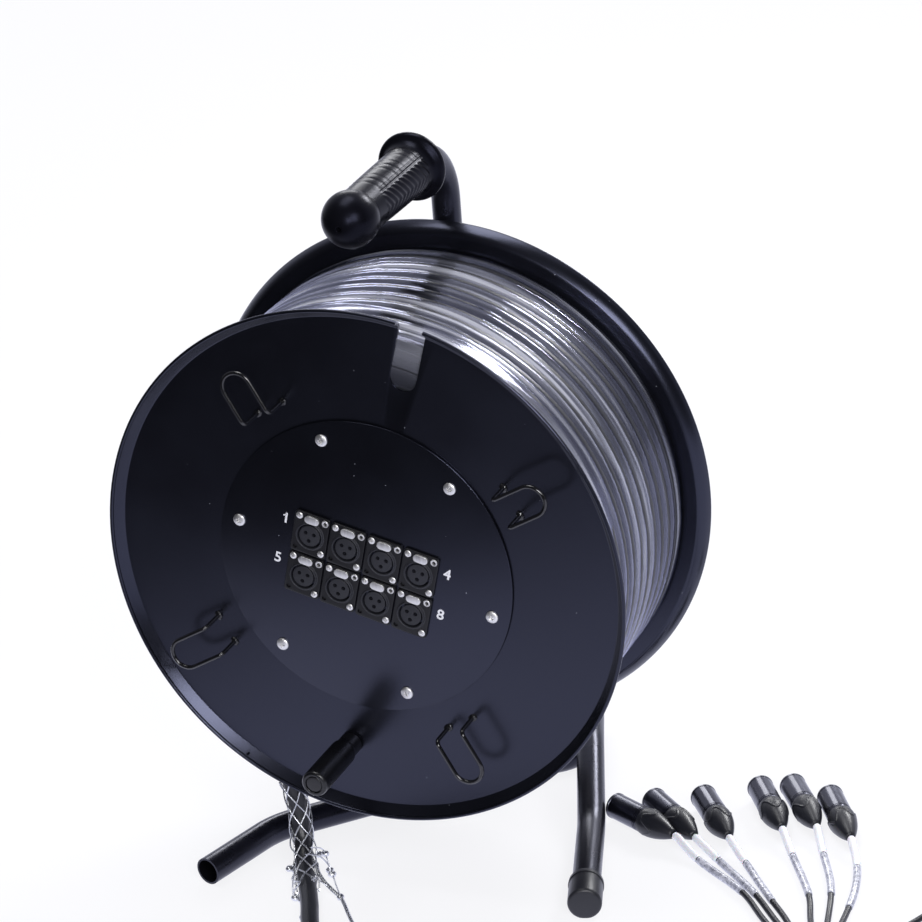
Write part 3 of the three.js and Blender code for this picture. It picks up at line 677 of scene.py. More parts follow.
def frontFlange():
    dimple = cylinder(flange["dimpleRadius"], 2, 12, polar(*flange["dimple"]), 20)
    disc = cutBy(flangeDisc(flange["opening"]), [slotCutter(), dimple])
    rimOfSlot = [
        e for e in disc.edges
        if e.is_manifold and e.calc_face_angle() > radians(50)
        and flange["opening"] + 20 < e.verts[0].co.xy.length < flange["flatTo"]
    ]
    rounded(disc, rimOfSlot, flange["slotEdge"], 2)
    return disc


finishPiece("frontFlange", frontFlange(), "steel", "drum", faceFrame, "front_flange", 28)
finishPiece("rearFlange", flangeDisc(flange["hubBore"]), "steel", "drum", rearFrame, "rear_flange", 28)


# Connector plate and its pan head screws
plate = {
    "radius": 107.5,
    "back": 0.3,
    "front": 1.9,
    "edge": 0.45,
    "screwCircle": 94.8,
    "screwTurn": 118.4,
    "screwHead": 4.4,
    "screwRise": 2,
    "recess": 5.6,
}
screwBlade = {
    "width": 0.25,  # share of the recess's length
    "height": 0.9,  # share of the head's rise
    "taper": (0.45, 0.6, 1),
    "turn": 0.4,
}


def connectorPlate():
    rim, edge = plate["radius"], plate["edge"]
    profile = [
        (0, plate["back"]), (rim - edge, plate["back"]), (rim, plate["back"] + edge),
        *arc(edge, (rim - edge, plate["front"] - edge), 0, 90, 4), (0, plate["front"]),
    ]
    return profileSpin(profile, 192)


def screwHead(radius, rise, recess, seat):
    # low dome with a crossed slot pressed into it
    turns = [radians(t) for t in range(0, 91, 10)]
    dome = [(radius * sin(t), rise * 0.35 + rise * 0.65 * cos(t)) for t in turns]
    bm = profileSpin(dome + [(radius, 0), (0, 0)], 36)
    cutters = []
    for turn in (screwBlade["turn"], screwBlade["turn"] + pi / 2):
        blade = bmesh.new()
        bmesh.ops.create_cube(blade, size=1)
        resize(blade, (recess, recess * screwBlade["width"], rise))
        resize(blade, screwBlade["taper"], [v for v in blade.verts if v.co.z < 0])
        blade.transform(shifted(0, 0, rise * screwBlade["height"]) @ turned(turn))
        cutters.append(blade)
    return move(cutBy(bm, cutters), (0, 0, seat))


finishPiece("connectorPlate", connectorPlate(), "steel", "drum", plateFrame, "connector_plate", 28)
for k in range(6):
    turn = radians(plate["screwTurn"] - 60 * k)
    place = plateFrame @ shifted(*polar(plate["screwCircle"], turn), 0) @ turned(1.1 * k)
    screw = screwHead(plate["screwHead"], plate["screwRise"], plate["recess"], plate["front"])
    finishPiece(f"plateScrew{k + 1}", screw, "nickel", "drum", place, f"plate_screw_{k + 1}")
print("flanges, plate and screws made")


# Chassis sockets in two rows of four, each with its push latch and three small screws
socket = {
    "grid": (-1.45, -4.6),
    "pitch": (26.9, 32),
    "width": 26,
    "height": 31,
    "corner": 2.2,
    "back": 2.2,
    "face": 4.2,
    "drop": 0.8,
    "collar": 9.9,
    "collarTop": 5.7,
    "mouth": 8.9,
    "insert": 7.7,
    "insertTop": 4.9,
    "mouthFloor": -4,
    "contacts": [(3.1, 1.8), (-3.1, 1.8), (0, -3.6)],
    "contactRadius": 1.45,
    "screws": [(-9.6, 12, False), (9.6, 12, True), (9.6, -12, False)],
    "screwHead": 2.5,
    "screwRise": 1.2,
    "recess": 2.9,
    "dent": (1.7, (-9.6, -12)),
    "latch": (10.6, 5.7),
    "latchUp": 11.4,
    "latchRise": 1.3,
    "latchDepth": 2,
    "latchTravel": 1.5,
    "latchPlay": 0.3,
}


def latchPocket():
    length, width = socket["latch"]
    face = socket["face"]
    low = face + socket["latchRise"] - socket["latchDepth"] - socket["latchTravel"] - socket["latchPlay"]
    pocket = roundedBlock(length + 0.7, width + 0.7, width / 2 + 0.34, low, face + 5, 0, 10)
    return move(pocket, (0, socket["latchUp"], 0))


def socketFlange():
    face, back = socket["face"], socket["back"]
    bm = roundedBlock(socket["width"], socket["height"], socket["corner"], back, face, 0.5)
    mouth = cylinder(socket["mouth"] + 0.4, back - 3, face + 3, (0, -socket["drop"]), 56)
    sinks = [
        cylinder(socket["screwHead"] + 0.25, face - 0.9, face + 2, (x, y), 24)
        for x, y, _ in socket["screws"]
    ]
    radius, place = socket["dent"]
    dent = cylinder(radius, face - 1.2, face + 2, place, 24)
    return cutBy(bm, [latchPocket(), mouth, dent, *sinks])


def socketMouth():
    # collar ring, the groove that takes the plug's shell, and the insert with its raised edge
    face, top, floor = socket["face"], socket["collarTop"], socket["mouthFloor"]
    rim, mouth, insert, high = socket["collar"], socket["mouth"], socket["insert"], socket["insertTop"]
    profile = [
        (rim + 0.9, face - 0.4), (rim + 0.9, face + 0.15), (rim + 0.4, face + 0.35),
        *arc(0.5, (rim - 0.5, top - 0.5), 0, 90, 4), *arc(0.4, (mouth + 0.4, top - 0.4), 90, 180, 4),
        (mouth, floor), (insert, floor), *arc(0.4, (insert - 0.4, high - 0.4), 0, 90, 4),
        (0, high), (0, floor - 2), (rim + 0.9, floor - 2), (rim + 0.9, face - 0.4),
    ]
    holes = [cylinder(socket["contactRadius"], high - 6, high + 2, place, 20) for place in socket["contacts"]]
    return cutBy(move(cutBy(profileSpin(profile, 56), holes), (0, -socket["drop"], 0)), [latchPocket()])


def pushLatch():
    length, width = socket["latch"]
    top = socket["face"] + socket["latchRise"]
    bm = roundedBlock(length, width, width / 2 - 0.01, top - socket["latchDepth"], top, 0.6, 10)
    return move(bm, (0, socket["latchUp"], 0))


def smallScrew(dark):
    radius, seat = socket["screwHead"], socket["face"] - 0.55
    if dark:  # an open rivet: bright ring round a dark bore
        ring = [(1.25, -0.8), (1.25, 0.55), *arc(0.45, (radius - 0.45, 0.35), 90, 0, 4), (radius, -0.8)]
        return profileSpin([(r, h + seat + 0.3) for r, h in ring], 28)
    return screwHead(radius, socket["screwRise"], socket["recess"], seat)


def placeSockets():
    face, mouth, latch = socketFlange(), socketMouth(), pushLatch()
    for k in range(8):
        column, row = k % 4 - 1.5, 0.5 - k // 4
        place = plateFrame @ shifted(
            socket["grid"][0] + socket["pitch"][0] * column, socket["grid"][1] + socket["pitch"][1] * row, 0,
        )
        number = k + 1
        finishPiece(f"socketFlange{number}", face.copy(), "casting", "drum", place, f"socket_{number}", 30)
        finishPiece(f"socketMouth{number}", mouth.copy(), "insert", "drum", place)
        body = f"latch_{number}"
        finishPiece(f"socketLatch{number}", latch.copy(), "nickel", body, place, f"socket_{body}")
        for n, (x, y, dark) in enumerate(socket["screws"]):
            spot = place @ shifted(x, y, 0) @ turned(0.7 * k + n)
            finishPiece(f"socketScrew{number}_{n + 1}", smallScrew(dark), "nickel", "drum", spot)


placeSockets()
print("sockets made")


# Channel numbers, screen printed beside the ends of each row
numbers = {
    "size": 10.64,
    "bolder": 0.22,
    "lift": 0.06,
    "flag": (2.5, 0.95, 0.06),  # of the numeral 1
    "flagPlace": (-1.15, 2.45, 0),
    "flagTurn": radians(38),
    "places": [("1", -61.5, 16.2), ("5", -63, -15.5), ("4", 58.5, 16.6), ("8", 58.7, -15.2)],
}


def printNumber(text, x, y):
    data = bpy.data.curves.new("number", "FONT")
    data.body, data.size, data.align_x, data.align_y = text, numbers["size"], "CENTER", "CENTER"
    data.offset, data.extrude = numbers["bolder"], numbers["lift"] / 2
    letter = addObject("number", data)
    bpy.context.view_layer.update()
    bm = bmesh.new()
    bm.from_mesh(letter.to_mesh())
    bpy.data.objects.remove(letter)
    if text == "1":
        flag = bmesh.ops.create_cube(bm, size=1)["verts"]
        resize(bm, numbers["flag"], flag)
        bmesh.ops.rotate(bm, verts=flag, matrix=Matrix.Rotation(numbers["flagTurn"], 3, "Z"))
        move(bm, numbers["flagPlace"], flag)
    place = plateFrame @ shifted(x, y, plate["front"] + numbers["lift"])
    finishPiece(f"number{text}", bm, "ink", "drum", place)


for text, x, y in numbers["places"]:
    printNumber(text, x, y)


# Wire hooks round the plate, bent from one wire and welded to the flange at both feet
hook = {
    "wire": 3,
    "circle": 126.5,
    "turn": 29,
    "spread": 21.6,
    "standoff": 21,
    "reach": 36,
    "corner": 4,
    "weld": 2.7,
    "weldShape": (1, 1.25, 0.55),
}


def wireHook(k):
    half, high, reach = hook["spread"] / 2, hook["standoff"], hook["reach"]
    place = faceFrame @ turned(radians(hook["turn"] + 90 * k))
    place = place @ shifted(hook["circle"], 0, 0)
    corners = [
        (0, -half, 0.3), (0, -half, high), (reach, -half, high),
        (reach, half, high), (0, half, high), (0, half, 0.3),
    ]
    bends = [hook["corner"], half - 0.01, half - 0.01, hook["corner"]]
    route = bentRoute([place @ Vector(c) for c in corners], bends, 12)
    wire = asMesh(wireMesh(f"wireHook{k + 1}", [route], hook["wire"] / 2, "enamel", 16))
    seatPiece(wire, "drum", f"wire_hook_{k + 1}")
    welds = bmesh.new()
    for side in (-half, half):
        bead = bmesh.ops.create_icosphere(welds, subdivisions=3, radius=hook["weld"])["verts"]
        for v in bead:  # uneven weld metal
            v.co *= 1 + 0.25 * noise.noise(v.co * 0.6 + Vector((k, side, 0)))
        resize(welds, hook["weldShape"], bead)
        move(welds, (0, side, 0.35), bead)
    finishPiece(f"hookWeld{k + 1}", welds, "enamel", "drum", place, smooth=60)


for k in range(4):
    wireHook(k)


# Crank knob: it spins on its bolt, with a pressed-in end cap
knob = {
    "place": (-21.98, -137.25),
    "base": 2.1,
    "neck": 8,
    "neckEnd": 14,
    "radius": 9.4,
    "top": 63.7,
    "edge": 2.2,
    "cap": 6.2,
}


def crankKnob():
    radius, top, edge, cap = knob["radius"], knob["top"], knob["edge"], knob["cap"]
    neck, neckEnd = knob["neck"], knob["neckEnd"]
    profile = [
        (3.5, knob["base"]), (neck, knob["base"]), (neck, neckEnd - 2), (neck + 0.15, neckEnd - 1),
        (radius - 0.5, neckEnd + 0.5), (radius - 0.2, neckEnd + 1.6), (radius - 0.05, neckEnd + 3),
        (radius, top - edge), *arc(edge, (radius - edge, top - edge), 0, 90, 8), (cap + 0.5, top),
        *arc(0.5, (cap + 0.5, top - 0.5), 90, 180, 3), (cap, top - 1.5), (cap - 0.45, top - 1.5),
        *arc(0.5, (cap - 0.95, top - 0.9), 0, 90, 3), (cap - 2.4, top - 0.3), (0, top - 0.25),
    ]
    return profileSpin(profile, 72)


place = faceFrame @ shifted(*knob["place"], 0)
finishPiece("crankKnob", crankKnob(), "knob", "crank", place, "crank_knob", 40)
print("hooks and crank knob made")


# Cable wound on the drum: the outer layer turn by turn, the lower layers as one ring
winding = {
    "pointsPerTurn": 72,
    "wander": 0.22,
    "layerInside": 104.3,
    "layerOutside": 159.7,
    "layers": 4,
    "sideReach": 74.3,
    "bulge": 2.2,
}


def woundCable():
    steps = round(turnCount * winding["pointsPerTurn"])
    route = []
    for k in range(steps + 1):
        turn = turnCount * k / steps
        calm = min(1, (turnCount - turn) * 3)  # the turns lie true where the lead leaves
        drift = noise.noise(Vector((turn * 3.1, 0.5, 7.7))) * winding["wander"] * calm
        route.append(windingPlace(turn, cable["radiusOnDrum"] + drift * 0.8) + Vector((0, drift, 0)))
    return route + [windingPlace(turnCount) + leadHeading * leadLength]


def innerLayers():
    low, high, reach, bulge = (winding[key] for key in ("layerInside", "layerOutside", "sideReach", "bulge"))
    depth = (high - low) / winding["layers"]
    side = []
    for k in range(winding["layers"]):
        middle = low + depth * (k + 0.5)
        side += [(middle + r, reach - bulge + h) for h, r in arc(bulge, (0, 0), -70, 70, 6)]
    side = [(r if abs(r - low) > 0.5 else low, h) for r, h in side]
    profile = [(low, 0), (low, reach - 3), *side, (high, reach - 1.5)]
    mirrored = [(r, -h) for r, h in reversed(profile[1:])]
    return profileSpin(profile + mirrored, 128, closed=True)


wound = wireMesh("woundCable", [woundCable()], cable["diameter"] / 2, "jacket", 20)
seatPiece(wound, "drum", "cable_winding")
finishPiece("innerWinding", innerLayers(), "jacket", "drum", windingFrame, "inner_winding", 50)


# Stretch film round the winding, drawn down between the turns and tucked in at both flanges
film = {
    "radius": 173.35,
    "dip": 1.5,
    "reach": 74.2,
    "side": [(118, 0.1), (140, 0), (158, 0), (166, 0.1), (170.5, 1)],  # radius, and how far inside the reach
    "skinFrom": 170.5,
    "steps": 360,
    "stepsPerTurn": 6,
    "wrinkle": 0.5,
    "stray": 0.06,
    "sink": (0.92, 0.5),  # mean and spread of how far it sinks between the turns
    "sinkLimits": (0.4, 1.05),
    "bridges": [(-1.13, -54, 0.3, 13), (-0.45, -50, 0.28, 11), (-1.75, -40, 0.3, 9)],
    "bridgeLift": 0.1,
}


def filmProfile():
    side = [(radius, film["reach"] - inset) for radius, inset in film["side"]]
    top = []
    fine = film["stepsPerTurn"]
    for k in range(round(turnCount) * fine + 1):
        inTurn = abs(sin(pi * k / fine))
        top.append((film["radius"] - film["dip"] * inTurn ** 2, cable["reach"] - k * cable["pitch"] / fine))
    return side + top + [(radius, -height) for radius, height in reversed(side)]


def filmPush(angle, height, flat):
    # long shallow wrinkles that run slantwise over the turns
    across, along = cos(angle), sin(angle)
    wrinkle = noise.noise(Vector((across * 9, along * 9, height * 0.045 + angle * 0.8)))
    push = max(0, wrinkle) * film["wrinkle"]
    # the film sinks unevenly between the turns
    stray = film["stray"] * noise.noise(Vector((angle * 2, height * 0.03, 5)))
    turn = (cable["reach"] - height) / cable["pitch"] + stray
    sunk = film["dip"] * sin(pi * turn) ** 2
    mean, spread = film["sink"]
    low, high = film["sinkLimits"]
    depth = mean + spread * noise.noise(Vector((across * 1.6, along * 1.6, round(turn) * 1.7)))
    push += film["radius"] - sunk * max(low, min(high, depth)) - flat
    for middle, centre, spreadTurn, spreadHeight in film["bridges"]:  # the film spans the turns
        off = ((angle - middle) / spreadTurn) ** 2 + ((height - centre) / spreadHeight) ** 2
        push += max(0, film["radius"] + film["bridgeLift"] - flat - push) * exp(-off * off)
    return push


def filmSkin():
    bm = profileSpin(filmProfile(), film["steps"])
    for v in bm.verts:
        flat = Vector((v.co.x, v.co.y)).length
        if flat >= film["skinFrom"]:
            swell(v, 1 + filmPush(atan2(v.co.y, v.co.x), v.co.z, flat) / flat)
    return bm


finishPiece("stretchFilm", filmSkin(), "film", "drum", windingFrame, smooth=80)
print("winding and film made")


# Stand, bent from 20 mm steel tube; corners are x, y, z from the axle
stand = {
    "radius": 10,
    "wall": 1.5,
    "openDepth": 30,
    "main": [(0, -55, 243), (0, 97, 243), (0, 97, -235), (66, 97, -235), (66, 163, -235), (-70, 163, -235)],
    "mainBends": [42, 33, 33, 33],
    "left": [(-124, -116, -235), (-104, -46, -235), (26.4, 92, -235)],
    "leftBends": [60],
    "rightTip": (147, -82, -234),
    "rightBend": (112, 21, -235),
    "rightTurn": radians(111),
    "rightRamp": 85,
    "rightTop": 66,
    "rightRise": -214.7,
    "rightBends": [80, 80],
}


def hollowTube(name, corners, bends, node):
    route = bentRoute([axle + Vector(c) for c in corners], bends, 16)
    tube = asMesh(wireMesh(name, [route], stand["radius"], "tube", 40, caps=False))
    bm = bmesh.new()
    bm.from_mesh(tube.data)
    faceOut(bm)

    def extendEdge():
        edges = [e for e in bm.edges if e.is_boundary]
        verts = vertsOf(bmesh.ops.extrude_edge_only(bm, edges=edges)["geom"])
        for end, after in ((route[0], route[1]), (route[-1], route[-2])):
            near = [v for v in verts if (v.co / mm - end).length < stand["radius"] * 1.3]
            yield near, end, after

    shrink = 1 - stand["wall"] / stand["radius"]
    for near, end, _ in extendEdge():  # the cut edge turned in, then a run down the bore
        bmesh.ops.scale(bm, verts=near, vec=(shrink,) * 3, space=Matrix.Translation(-end * mm))
    for near, end, after in extendEdge():
        move(bm, (after - end).normalized() * stand["openDepth"] * mm, near)
    bmesh.ops.holes_fill(bm, edges=[e for e in bm.edges if e.is_boundary], sides=0)
    faceOut(bm)
    bm.to_mesh(tube.data)
    bm.free()
    smoothTo(tube.data, 40)
    seatPiece(tube, "stand", node)


rightHeading = Vector((*polar(1, stand["rightTurn"]), 0))
rampTop = Vector(stand["rightBend"]) + rightHeading * stand["rightRamp"]
rampTop.z = stand["rightRise"]
rightCorners = [stand["rightTip"], stand["rightBend"], rampTop, rampTop + rightHeading * stand["rightTop"]]
hollowTube("standTube", stand["main"], stand["mainBends"], "stand_main_tube")
hollowTube("leftLeg", stand["left"], stand["leftBends"], "left_leg_tube")
hollowTube("rightLeg", rightCorners, stand["rightBends"], "right_leg_tube")


# Rubber cap on the right leg's foot, worn flat where it stands
foot = {
    "radius": 12,
    "length": 30,
    "end": 4,
    "dome": 1.6,
    "lip": 0.8,
    "wornTo": 0.2,
}


def footCap():
    radius, end, dome = foot["radius"], foot["end"], foot["dome"]
    back = end - foot["length"]
    profile = [
        (0, end + dome * 0.2), (4, end + dome * 0.15), (8.6, end - dome * 0.2),
        *arc(2.6, (radius - 2.6, end - 3), 75, 0, 7),
        (radius, back + 6), (radius - 0.1, back + 5.2), (radius + foot["lip"] - 0.3, back + 4.4),
        *arc(0.5, (radius - 0.2, back + 0.9), 0, -90, 3),
        (radius - 1.9, back + 0.4), (stand["radius"] - 0.2, back + 1),
    ]
    bm = profileSpin(profile, 64)
    tip = Vector(stand["rightTip"])
    away = (tip - Vector(stand["rightBend"])).normalized()
    side = away.cross(Vector((0, 0, 1))).normalized()
    bm.transform(axes(side, away.cross(side) * -1, away, axle + tip))
    cut = bmesh.ops.bisect_plane(
        bm, geom=bm.verts[:] + bm.edges[:] + bm.faces[:], plane_co=(0, 0, foot["wornTo"]),
        plane_no=(0, 0, -1), clear_outer=True,
    )["geom_cut"]
    bmesh.ops.contextual_create(bm, geom=[e for e in cut if isinstance(e, bmesh.types.BMEdge)])
    faceOut(bm)
    return bm


finishPiece("footCap", footCap(), "boot", "stand", None, "right_foot_cap", 40)
print("stand made")


# Moulded handle grip: collar, waist, ball end, and a relief of panels, lines and slanted ribs
grip = {
    "radius": 17.6,
    "waist": 16.6,
    "taper": 1.3,
    "collar": 24.5,
    "back": -49,
    "collarWidth": 7,
    "ball": 19.5,
    "ballCentre": 55,
    "hole": 1.9,
    "reliefFrom": -35,
    "reliefTo": 31,
    "line": (0.36, 0.62),  # depth and half width of each groove
    "edgeLine": (0.45, 0.75),
    "innerLine": (0.3, 0.55),
    "innerLineAt": 0.13,
    "lineStep": 6.4,
    "rib": 0.85,
    "ribFoot": 0.35,
    "ribStep": 6.2,
    "ribSlant": 0.95,
    "panel": radians(46),
}
gripFrame = axes((1, 0, 0), (0, 0, 1), (0, -1, 0), axle + Vector((0, 0, 243)))


def gripProfile():
    back, width = grip["back"], grip["collarWidth"]
    collar, body, ball, centre = grip["collar"], grip["radius"], grip["ball"], grip["ballCentre"]
    points = [(10.2, back), (12, back - 0.01), (collar - 3.2, back)]
    points += arc(3.4, (collar - 3.4, back + 3.4), -80, 62, 14)
    front = back + width
    points += [(collar - 3.6, front + 0.3), (collar - 5.6, front + 2.2), (body + 0.5, front + 5)]
    for k in range(61):
        share = k / 60
        swelling = 0.25 * sin(share * pi)
        points.append((body - grip["taper"] * share ** 1.3 + swelling, front + 6.5 + k * 1.35))
    start = degrees(acos((grip["waist"] + 0.6) / ball))
    points += arc(ball, (0, centre), -start, 84, 40)
    end, hole = centre + ball, grip["hole"]
    points += [(hole, end - 0.25), (hole - 0.1, end - 3), (0, end - 3)]
    ordered = [points[0]]
    for point in points[1:]:  # the waist runs into the ball where their outlines meet
        if point[1] >= ordered[-1][1] - 0.02 or point[1] > centre:
            ordered.append(point)
    return ordered


def groove(shape, distance):
    depth, width = shape
    return depth * max(0, 1 - (distance / width) ** 2)


def gripRelief(angle, height):
    # up is where the angle is 90 degrees; panels face up and down, ribs lie on both sides
    middle = abs(atan2(sin(2 * angle), -cos(2 * angle))) / 2
    start, end, step = grip["reliefFrom"], grip["reliefTo"], grip["lineStep"]
    if not start - 1 < height < end + 1:
        return 0
    inside = min(1, max(0, (height - start + 1) / 2)) * min(1, max(0, (end + 1 - height) / 2))
    depth = 0
    past = middle - grip["panel"]  # around the grip from the panel's edge
    if past < 0:
        run = (height - start) % step
        depth -= groove(grip["line"], min(run, step - run))
    depth -= groove(grip["edgeLine"], abs(past) * 16)
    depth -= groove(grip["innerLine"], abs(past + grip["innerLineAt"]) * 16)
    if past > 0.1:
        slant = (height + past * 16 * grip["ribSlant"] * copysign(1, cos(angle))) % grip["ribStep"]
        rib = 0.5 - 0.5 * cos(2 * pi * slant / grip["ribStep"])
        depth += grip["rib"] * rib ** 1.5 - grip["ribFoot"]
    return depth * inside


def handleGrip():
    bm = profileSpin(gripProfile(), 224)
    for v in bm.verts:
        radius = hypot(v.co.x, v.co.y)
        if radius >= 12:
            swell(v, 1 + gripRelief(atan2(v.co.y, v.co.x), v.co.z) / radius)
    return bm


finishPiece("handleGrip", handleGrip(), "grip", "stand", gripFrame, "handle_grip", 70)
print("grip made")


# Wire cable grip: a sleeve of crossing wires on the cable, loose loops with crimps, and its pull rope
sleeve = {
    "from": (-77, -67.8, 64.6),
    "to": (-48, -118, 16),
    "wire": 1.1,
    "strands": 5,
    "turnLength": 86,
    "radius": 7.9,
    "belly": 1.6,
    "bellyLength": 110,
    "weave": 0.35,
    "crimp": 2.6,
    "crimpLength": 6,
    "loops": [
        [
            (-60, -96.5, 17.5), (-66.5, -90.5, 12), (-71.5, -93.1, 8), (-70.5, -89.4, 3),
            (-66, -101, 4.5), (-57, -110.5, 6), (-52, -114, 12.5),
        ],
        [
            (-61.5, -100, 9), (-68.9, -88.7, 4.5), (-66, -100, 2.6), (-54.8, -120.4, 2.2),
            (-48.7, -122.1, 2.4), (-45.5, -124.5, 7),
        ],
        [
            (-50, -119, 15), (-56, -119.5, 6), (-48.7, -122.1, 3.4), (-43, -133, 2.4),
            (-38.5, -143, 2.3), (-41.5, -132, 3.6), (-45, -126, 5),
        ],
        [
            (-58.5, -84, 22), (-56.5, -72, 15), (-59.6, -59.9, 4), (-53.5, -68.5, 2.4),
            (-45.5, -79, 2.4), (-43.4, -83.4, 2.4),
        ],
        [
            (-59, -92, 21), (-52, -84, 16), (-47, -81, 8), (-43.4, -83.4, 3),
            (-34, -97, 2.4), (-24.8, -110.2, 2.3),
        ],
        [(-50.5, -109, 16.4), (-42.5, -105.5, 10), (-36, -104, 5), (-30, -106, 3), (-24.8, -110.2, 2.4)],
    ],
    "crimps": [
        (-71.5, -93.1, 8), (-68.9, -88.7, 4.5), (-54.8, -120.4, 2.4), (-48.7, -122.1, 2.6),
        (-38.5, -143, 2.4), (-59.6, -59.9, 3.4), (-43.4, -83.4, 2.5), (-24.8, -110.2, 2.4),
        (-62, -64.8, 5.2), (-46.5, -80.2, 3.4),
    ],
}


def nearest(route, place):
    return min(range(len(route)), key=lambda k: (route[k] - place).length)


def sleeveWires():
    first, last = (nearest(cableRoute, floorPoint(sleeve[end])) for end in ("from", "to"))
    frames = routeFrames(smoothRoute(cableRoute[first:last + 1], 1.2))
    strands = sleeve["strands"]
    wires = []
    for way in (1, -1):
        for k in range(strands):
            wire = []
            for point, run, side, across in frames:
                turn = way * 2 * pi * run / sleeve["turnLength"] + 2 * pi * k / strands
                weave = cos(strands * (turn - way * pi * run / sleeve["turnLength"]))
                belly = sin(pi * min(1, run / sleeve["bellyLength"]))
                belly *= noise.noise(Vector((k, way, run * 0.03)))
                reach = sleeve["radius"] + sleeve["belly"] * belly + sleeve["weave"] * way * weave
                spot = point + side * reach * cos(turn) + across * reach * sin(turn)
                spot.z = max(spot.z, sleeve["wire"] / 2 + 0.1)
                wire.append(spot)
            wires.append(wire)
    return wires


def crimpSleeves():
    bm = bmesh.new()
    for k, place in enumerate(sleeve["crimps"]):
        part = bmesh.ops.create_icosphere(bm, subdivisions=3, radius=sleeve["crimp"])["verts"]
        for v in part:  # pressed out of round, with the marks of the tool
            v.co *= 1 + 0.16 * noise.noise(v.co * 0.9 + Vector((k * 3.3, 0, 0)))
        resize(bm, (1, sleeve["crimpLength"] / sleeve["crimp"] / 2, 0.85), part)
        bmesh.ops.rotate(bm, verts=part, matrix=Matrix.Rotation(0.9 * k, 3, "Z"))
        spot = floorPoint(place)
        spot.z = max(spot.z, sleeve["crimp"] * 0.86 + 0.1)
        move(bm, spot, part)
    return bm


def wirePiece(name, routes, radius, sides, node=None):
    seatPiece(asMesh(wireMesh(name, routes, radius, "wire", sides)), "stand", node)


def ropeEye():
    tip, before = (floorPoint(rope["route"][k]) for k in (-1, -2))
    heading = (tip - before).normalized()
    heading.z = 0
    side = Vector((heading.y, -heading.x, 0))
    length, width = rope["eye"]
    turns = [pi * 2 * k / 28 for k in range(29)]
    return [tip + heading * length * (1 - cos(t)) + side * width * sin(t) for t in turns]


def ropeStrands():
    strands = []
    for k in range(rope["strands"] + 1):
        turn = 2 * pi * k / rope["strands"]
        reach = 0 if k == rope["strands"] else rope["diameter"] / 3.1
        strand = []
        for point, run, side, across in routeFrames(ropeRoute):
            lay = turn + run * rope["lay"]
            strand.append(point + side * reach * cos(lay) + across * reach * sin(lay))
        strands.append(strand)
    return strands


wirePiece("gripSleeve", sleeveWires(), sleeve["wire"] / 2, 8, "cable_grip")
gripLoops = [smoothRoute([floorPoint(p) for p in loop], 1.5) for loop in sleeve["loops"]]
wirePiece("gripLoops", gripLoops, sleeve["wire"] / 2, 8)
finishPiece("gripCrimps", crimpSleeves(), "wire", "stand", smooth=60)
wirePiece("ropeEye", [ropeEye()], rope["wire"], 10)
wirePiece("pullRope", ropeStrands(), rope["diameter"] / 6.2, 6)
print("cable grip and rope made")


# Splitter boot where the cable fans out into the eight tails
def splitterBoot():
    length, radius, neck = splitter["length"], splitter["radius"], splitter["neck"]
    profile = [(0, 0), (neck - 1, 0), (neck, 1)]
    for k in range(61):  # a cone with ridges, then a smooth barrel
        share = k / 60
        ridge = 0.55 * sin(share * pi * 12) if share < 0.5 else 0
        swelling = neck + (radius - neck) * min(1, share * 1.7) ** 0.8
        profile.append((min(radius, swelling) + ridge - 0.3, 1.5 + share * (length - 4)))
    profile += arc(1.2, (radius - 1.4, length - 1.3), 0, 90, 6)
    return profileSpin(profile + [(radius - 4, length), (0, length)], 96)


finishPiece(
    "splitterBoot", splitterBoot(), "boot", "stand",
    axes(splitterSide * -1, (0, 0, 1), splitterHeading, splitterBack), "splitter_boot", 50,
)


# Line plugs: black shell with an open mouth and three pins, moulded boot with a wavy relief line
plug = {
    "radius": 9.5,
    "shell": 31,
    "mouth": 8,
    "mouthDepth": 9,
    "pinCircle": 4.1,
    "pin": 1.15,
    "pinTip": 1.6,
    "boot": 10,
    "lift": 0.7,
    "length": 61,
    "tip": 3.3,
    "wave": 0.85,
    "waveHeight": 0.6,
    "waveAt": 9,
    "waveSwing": (4.6, 1.5),
    "ringAt": (27.6, 29.2),
    "dimpleAt": 14,
    "dimple": 2.6,
    "dimpleWidth": 0.9,
}


def plugShell():
    radius, mouth, depth, length = plug["radius"], plug["mouth"], plug["mouthDepth"], plug["shell"]
    profile = [(0, depth), (mouth - 0.3, depth), (mouth, depth - 0.3), (mouth, 0.5), (mouth + 0.45, 0)]
    profile += [(radius - 0.4, 0), (radius, 0.45), (radius, 1.9), (radius - 0.25, 2.2)]
    for place in plug["ringAt"]:
        low, high = radius - 0.65, radius - 0.2
        profile += [(high, place), (low, place + 0.1), (low, place + 0.6), (high, place + 0.75)]
    profile += [(radius - 0.3, length), (0, length)]
    shell = profileSpin(profile, 96)
    width = plug["dimpleWidth"]
    for v in shell.verts:  # thumb dimple and the guide groove of the latch, on the upper side
        turn = atan2(v.co.x, v.co.y)
        reach = abs(hypot(turn * radius, v.co.z - plug["dimpleAt"]) - plug["dimple"])
        if reach < width and hypot(v.co.x, v.co.y) > mouth + 1:
            swell(v, 1 - 0.028 * (1 - reach / width))
    return shell


def plugPins():
    pin, tip, root = plug["pin"], plug["pinTip"], plug["mouthDepth"] + 1
    bm = bmesh.new()
    for k in range(3):
        part = profileSpin([(0, tip), *arc(pin, (0, tip + pin), -90, 0, 6), (pin, root), (0, root)], 20)
        move(part, (*polar(plug["pinCircle"], radians(90 + 120 * k)), 0))
        held = bpy.data.meshes.new("held")
        part.to_mesh(held)
        bm.from_mesh(held)
        part.free()
        bpy.data.meshes.remove(held)
    return bm


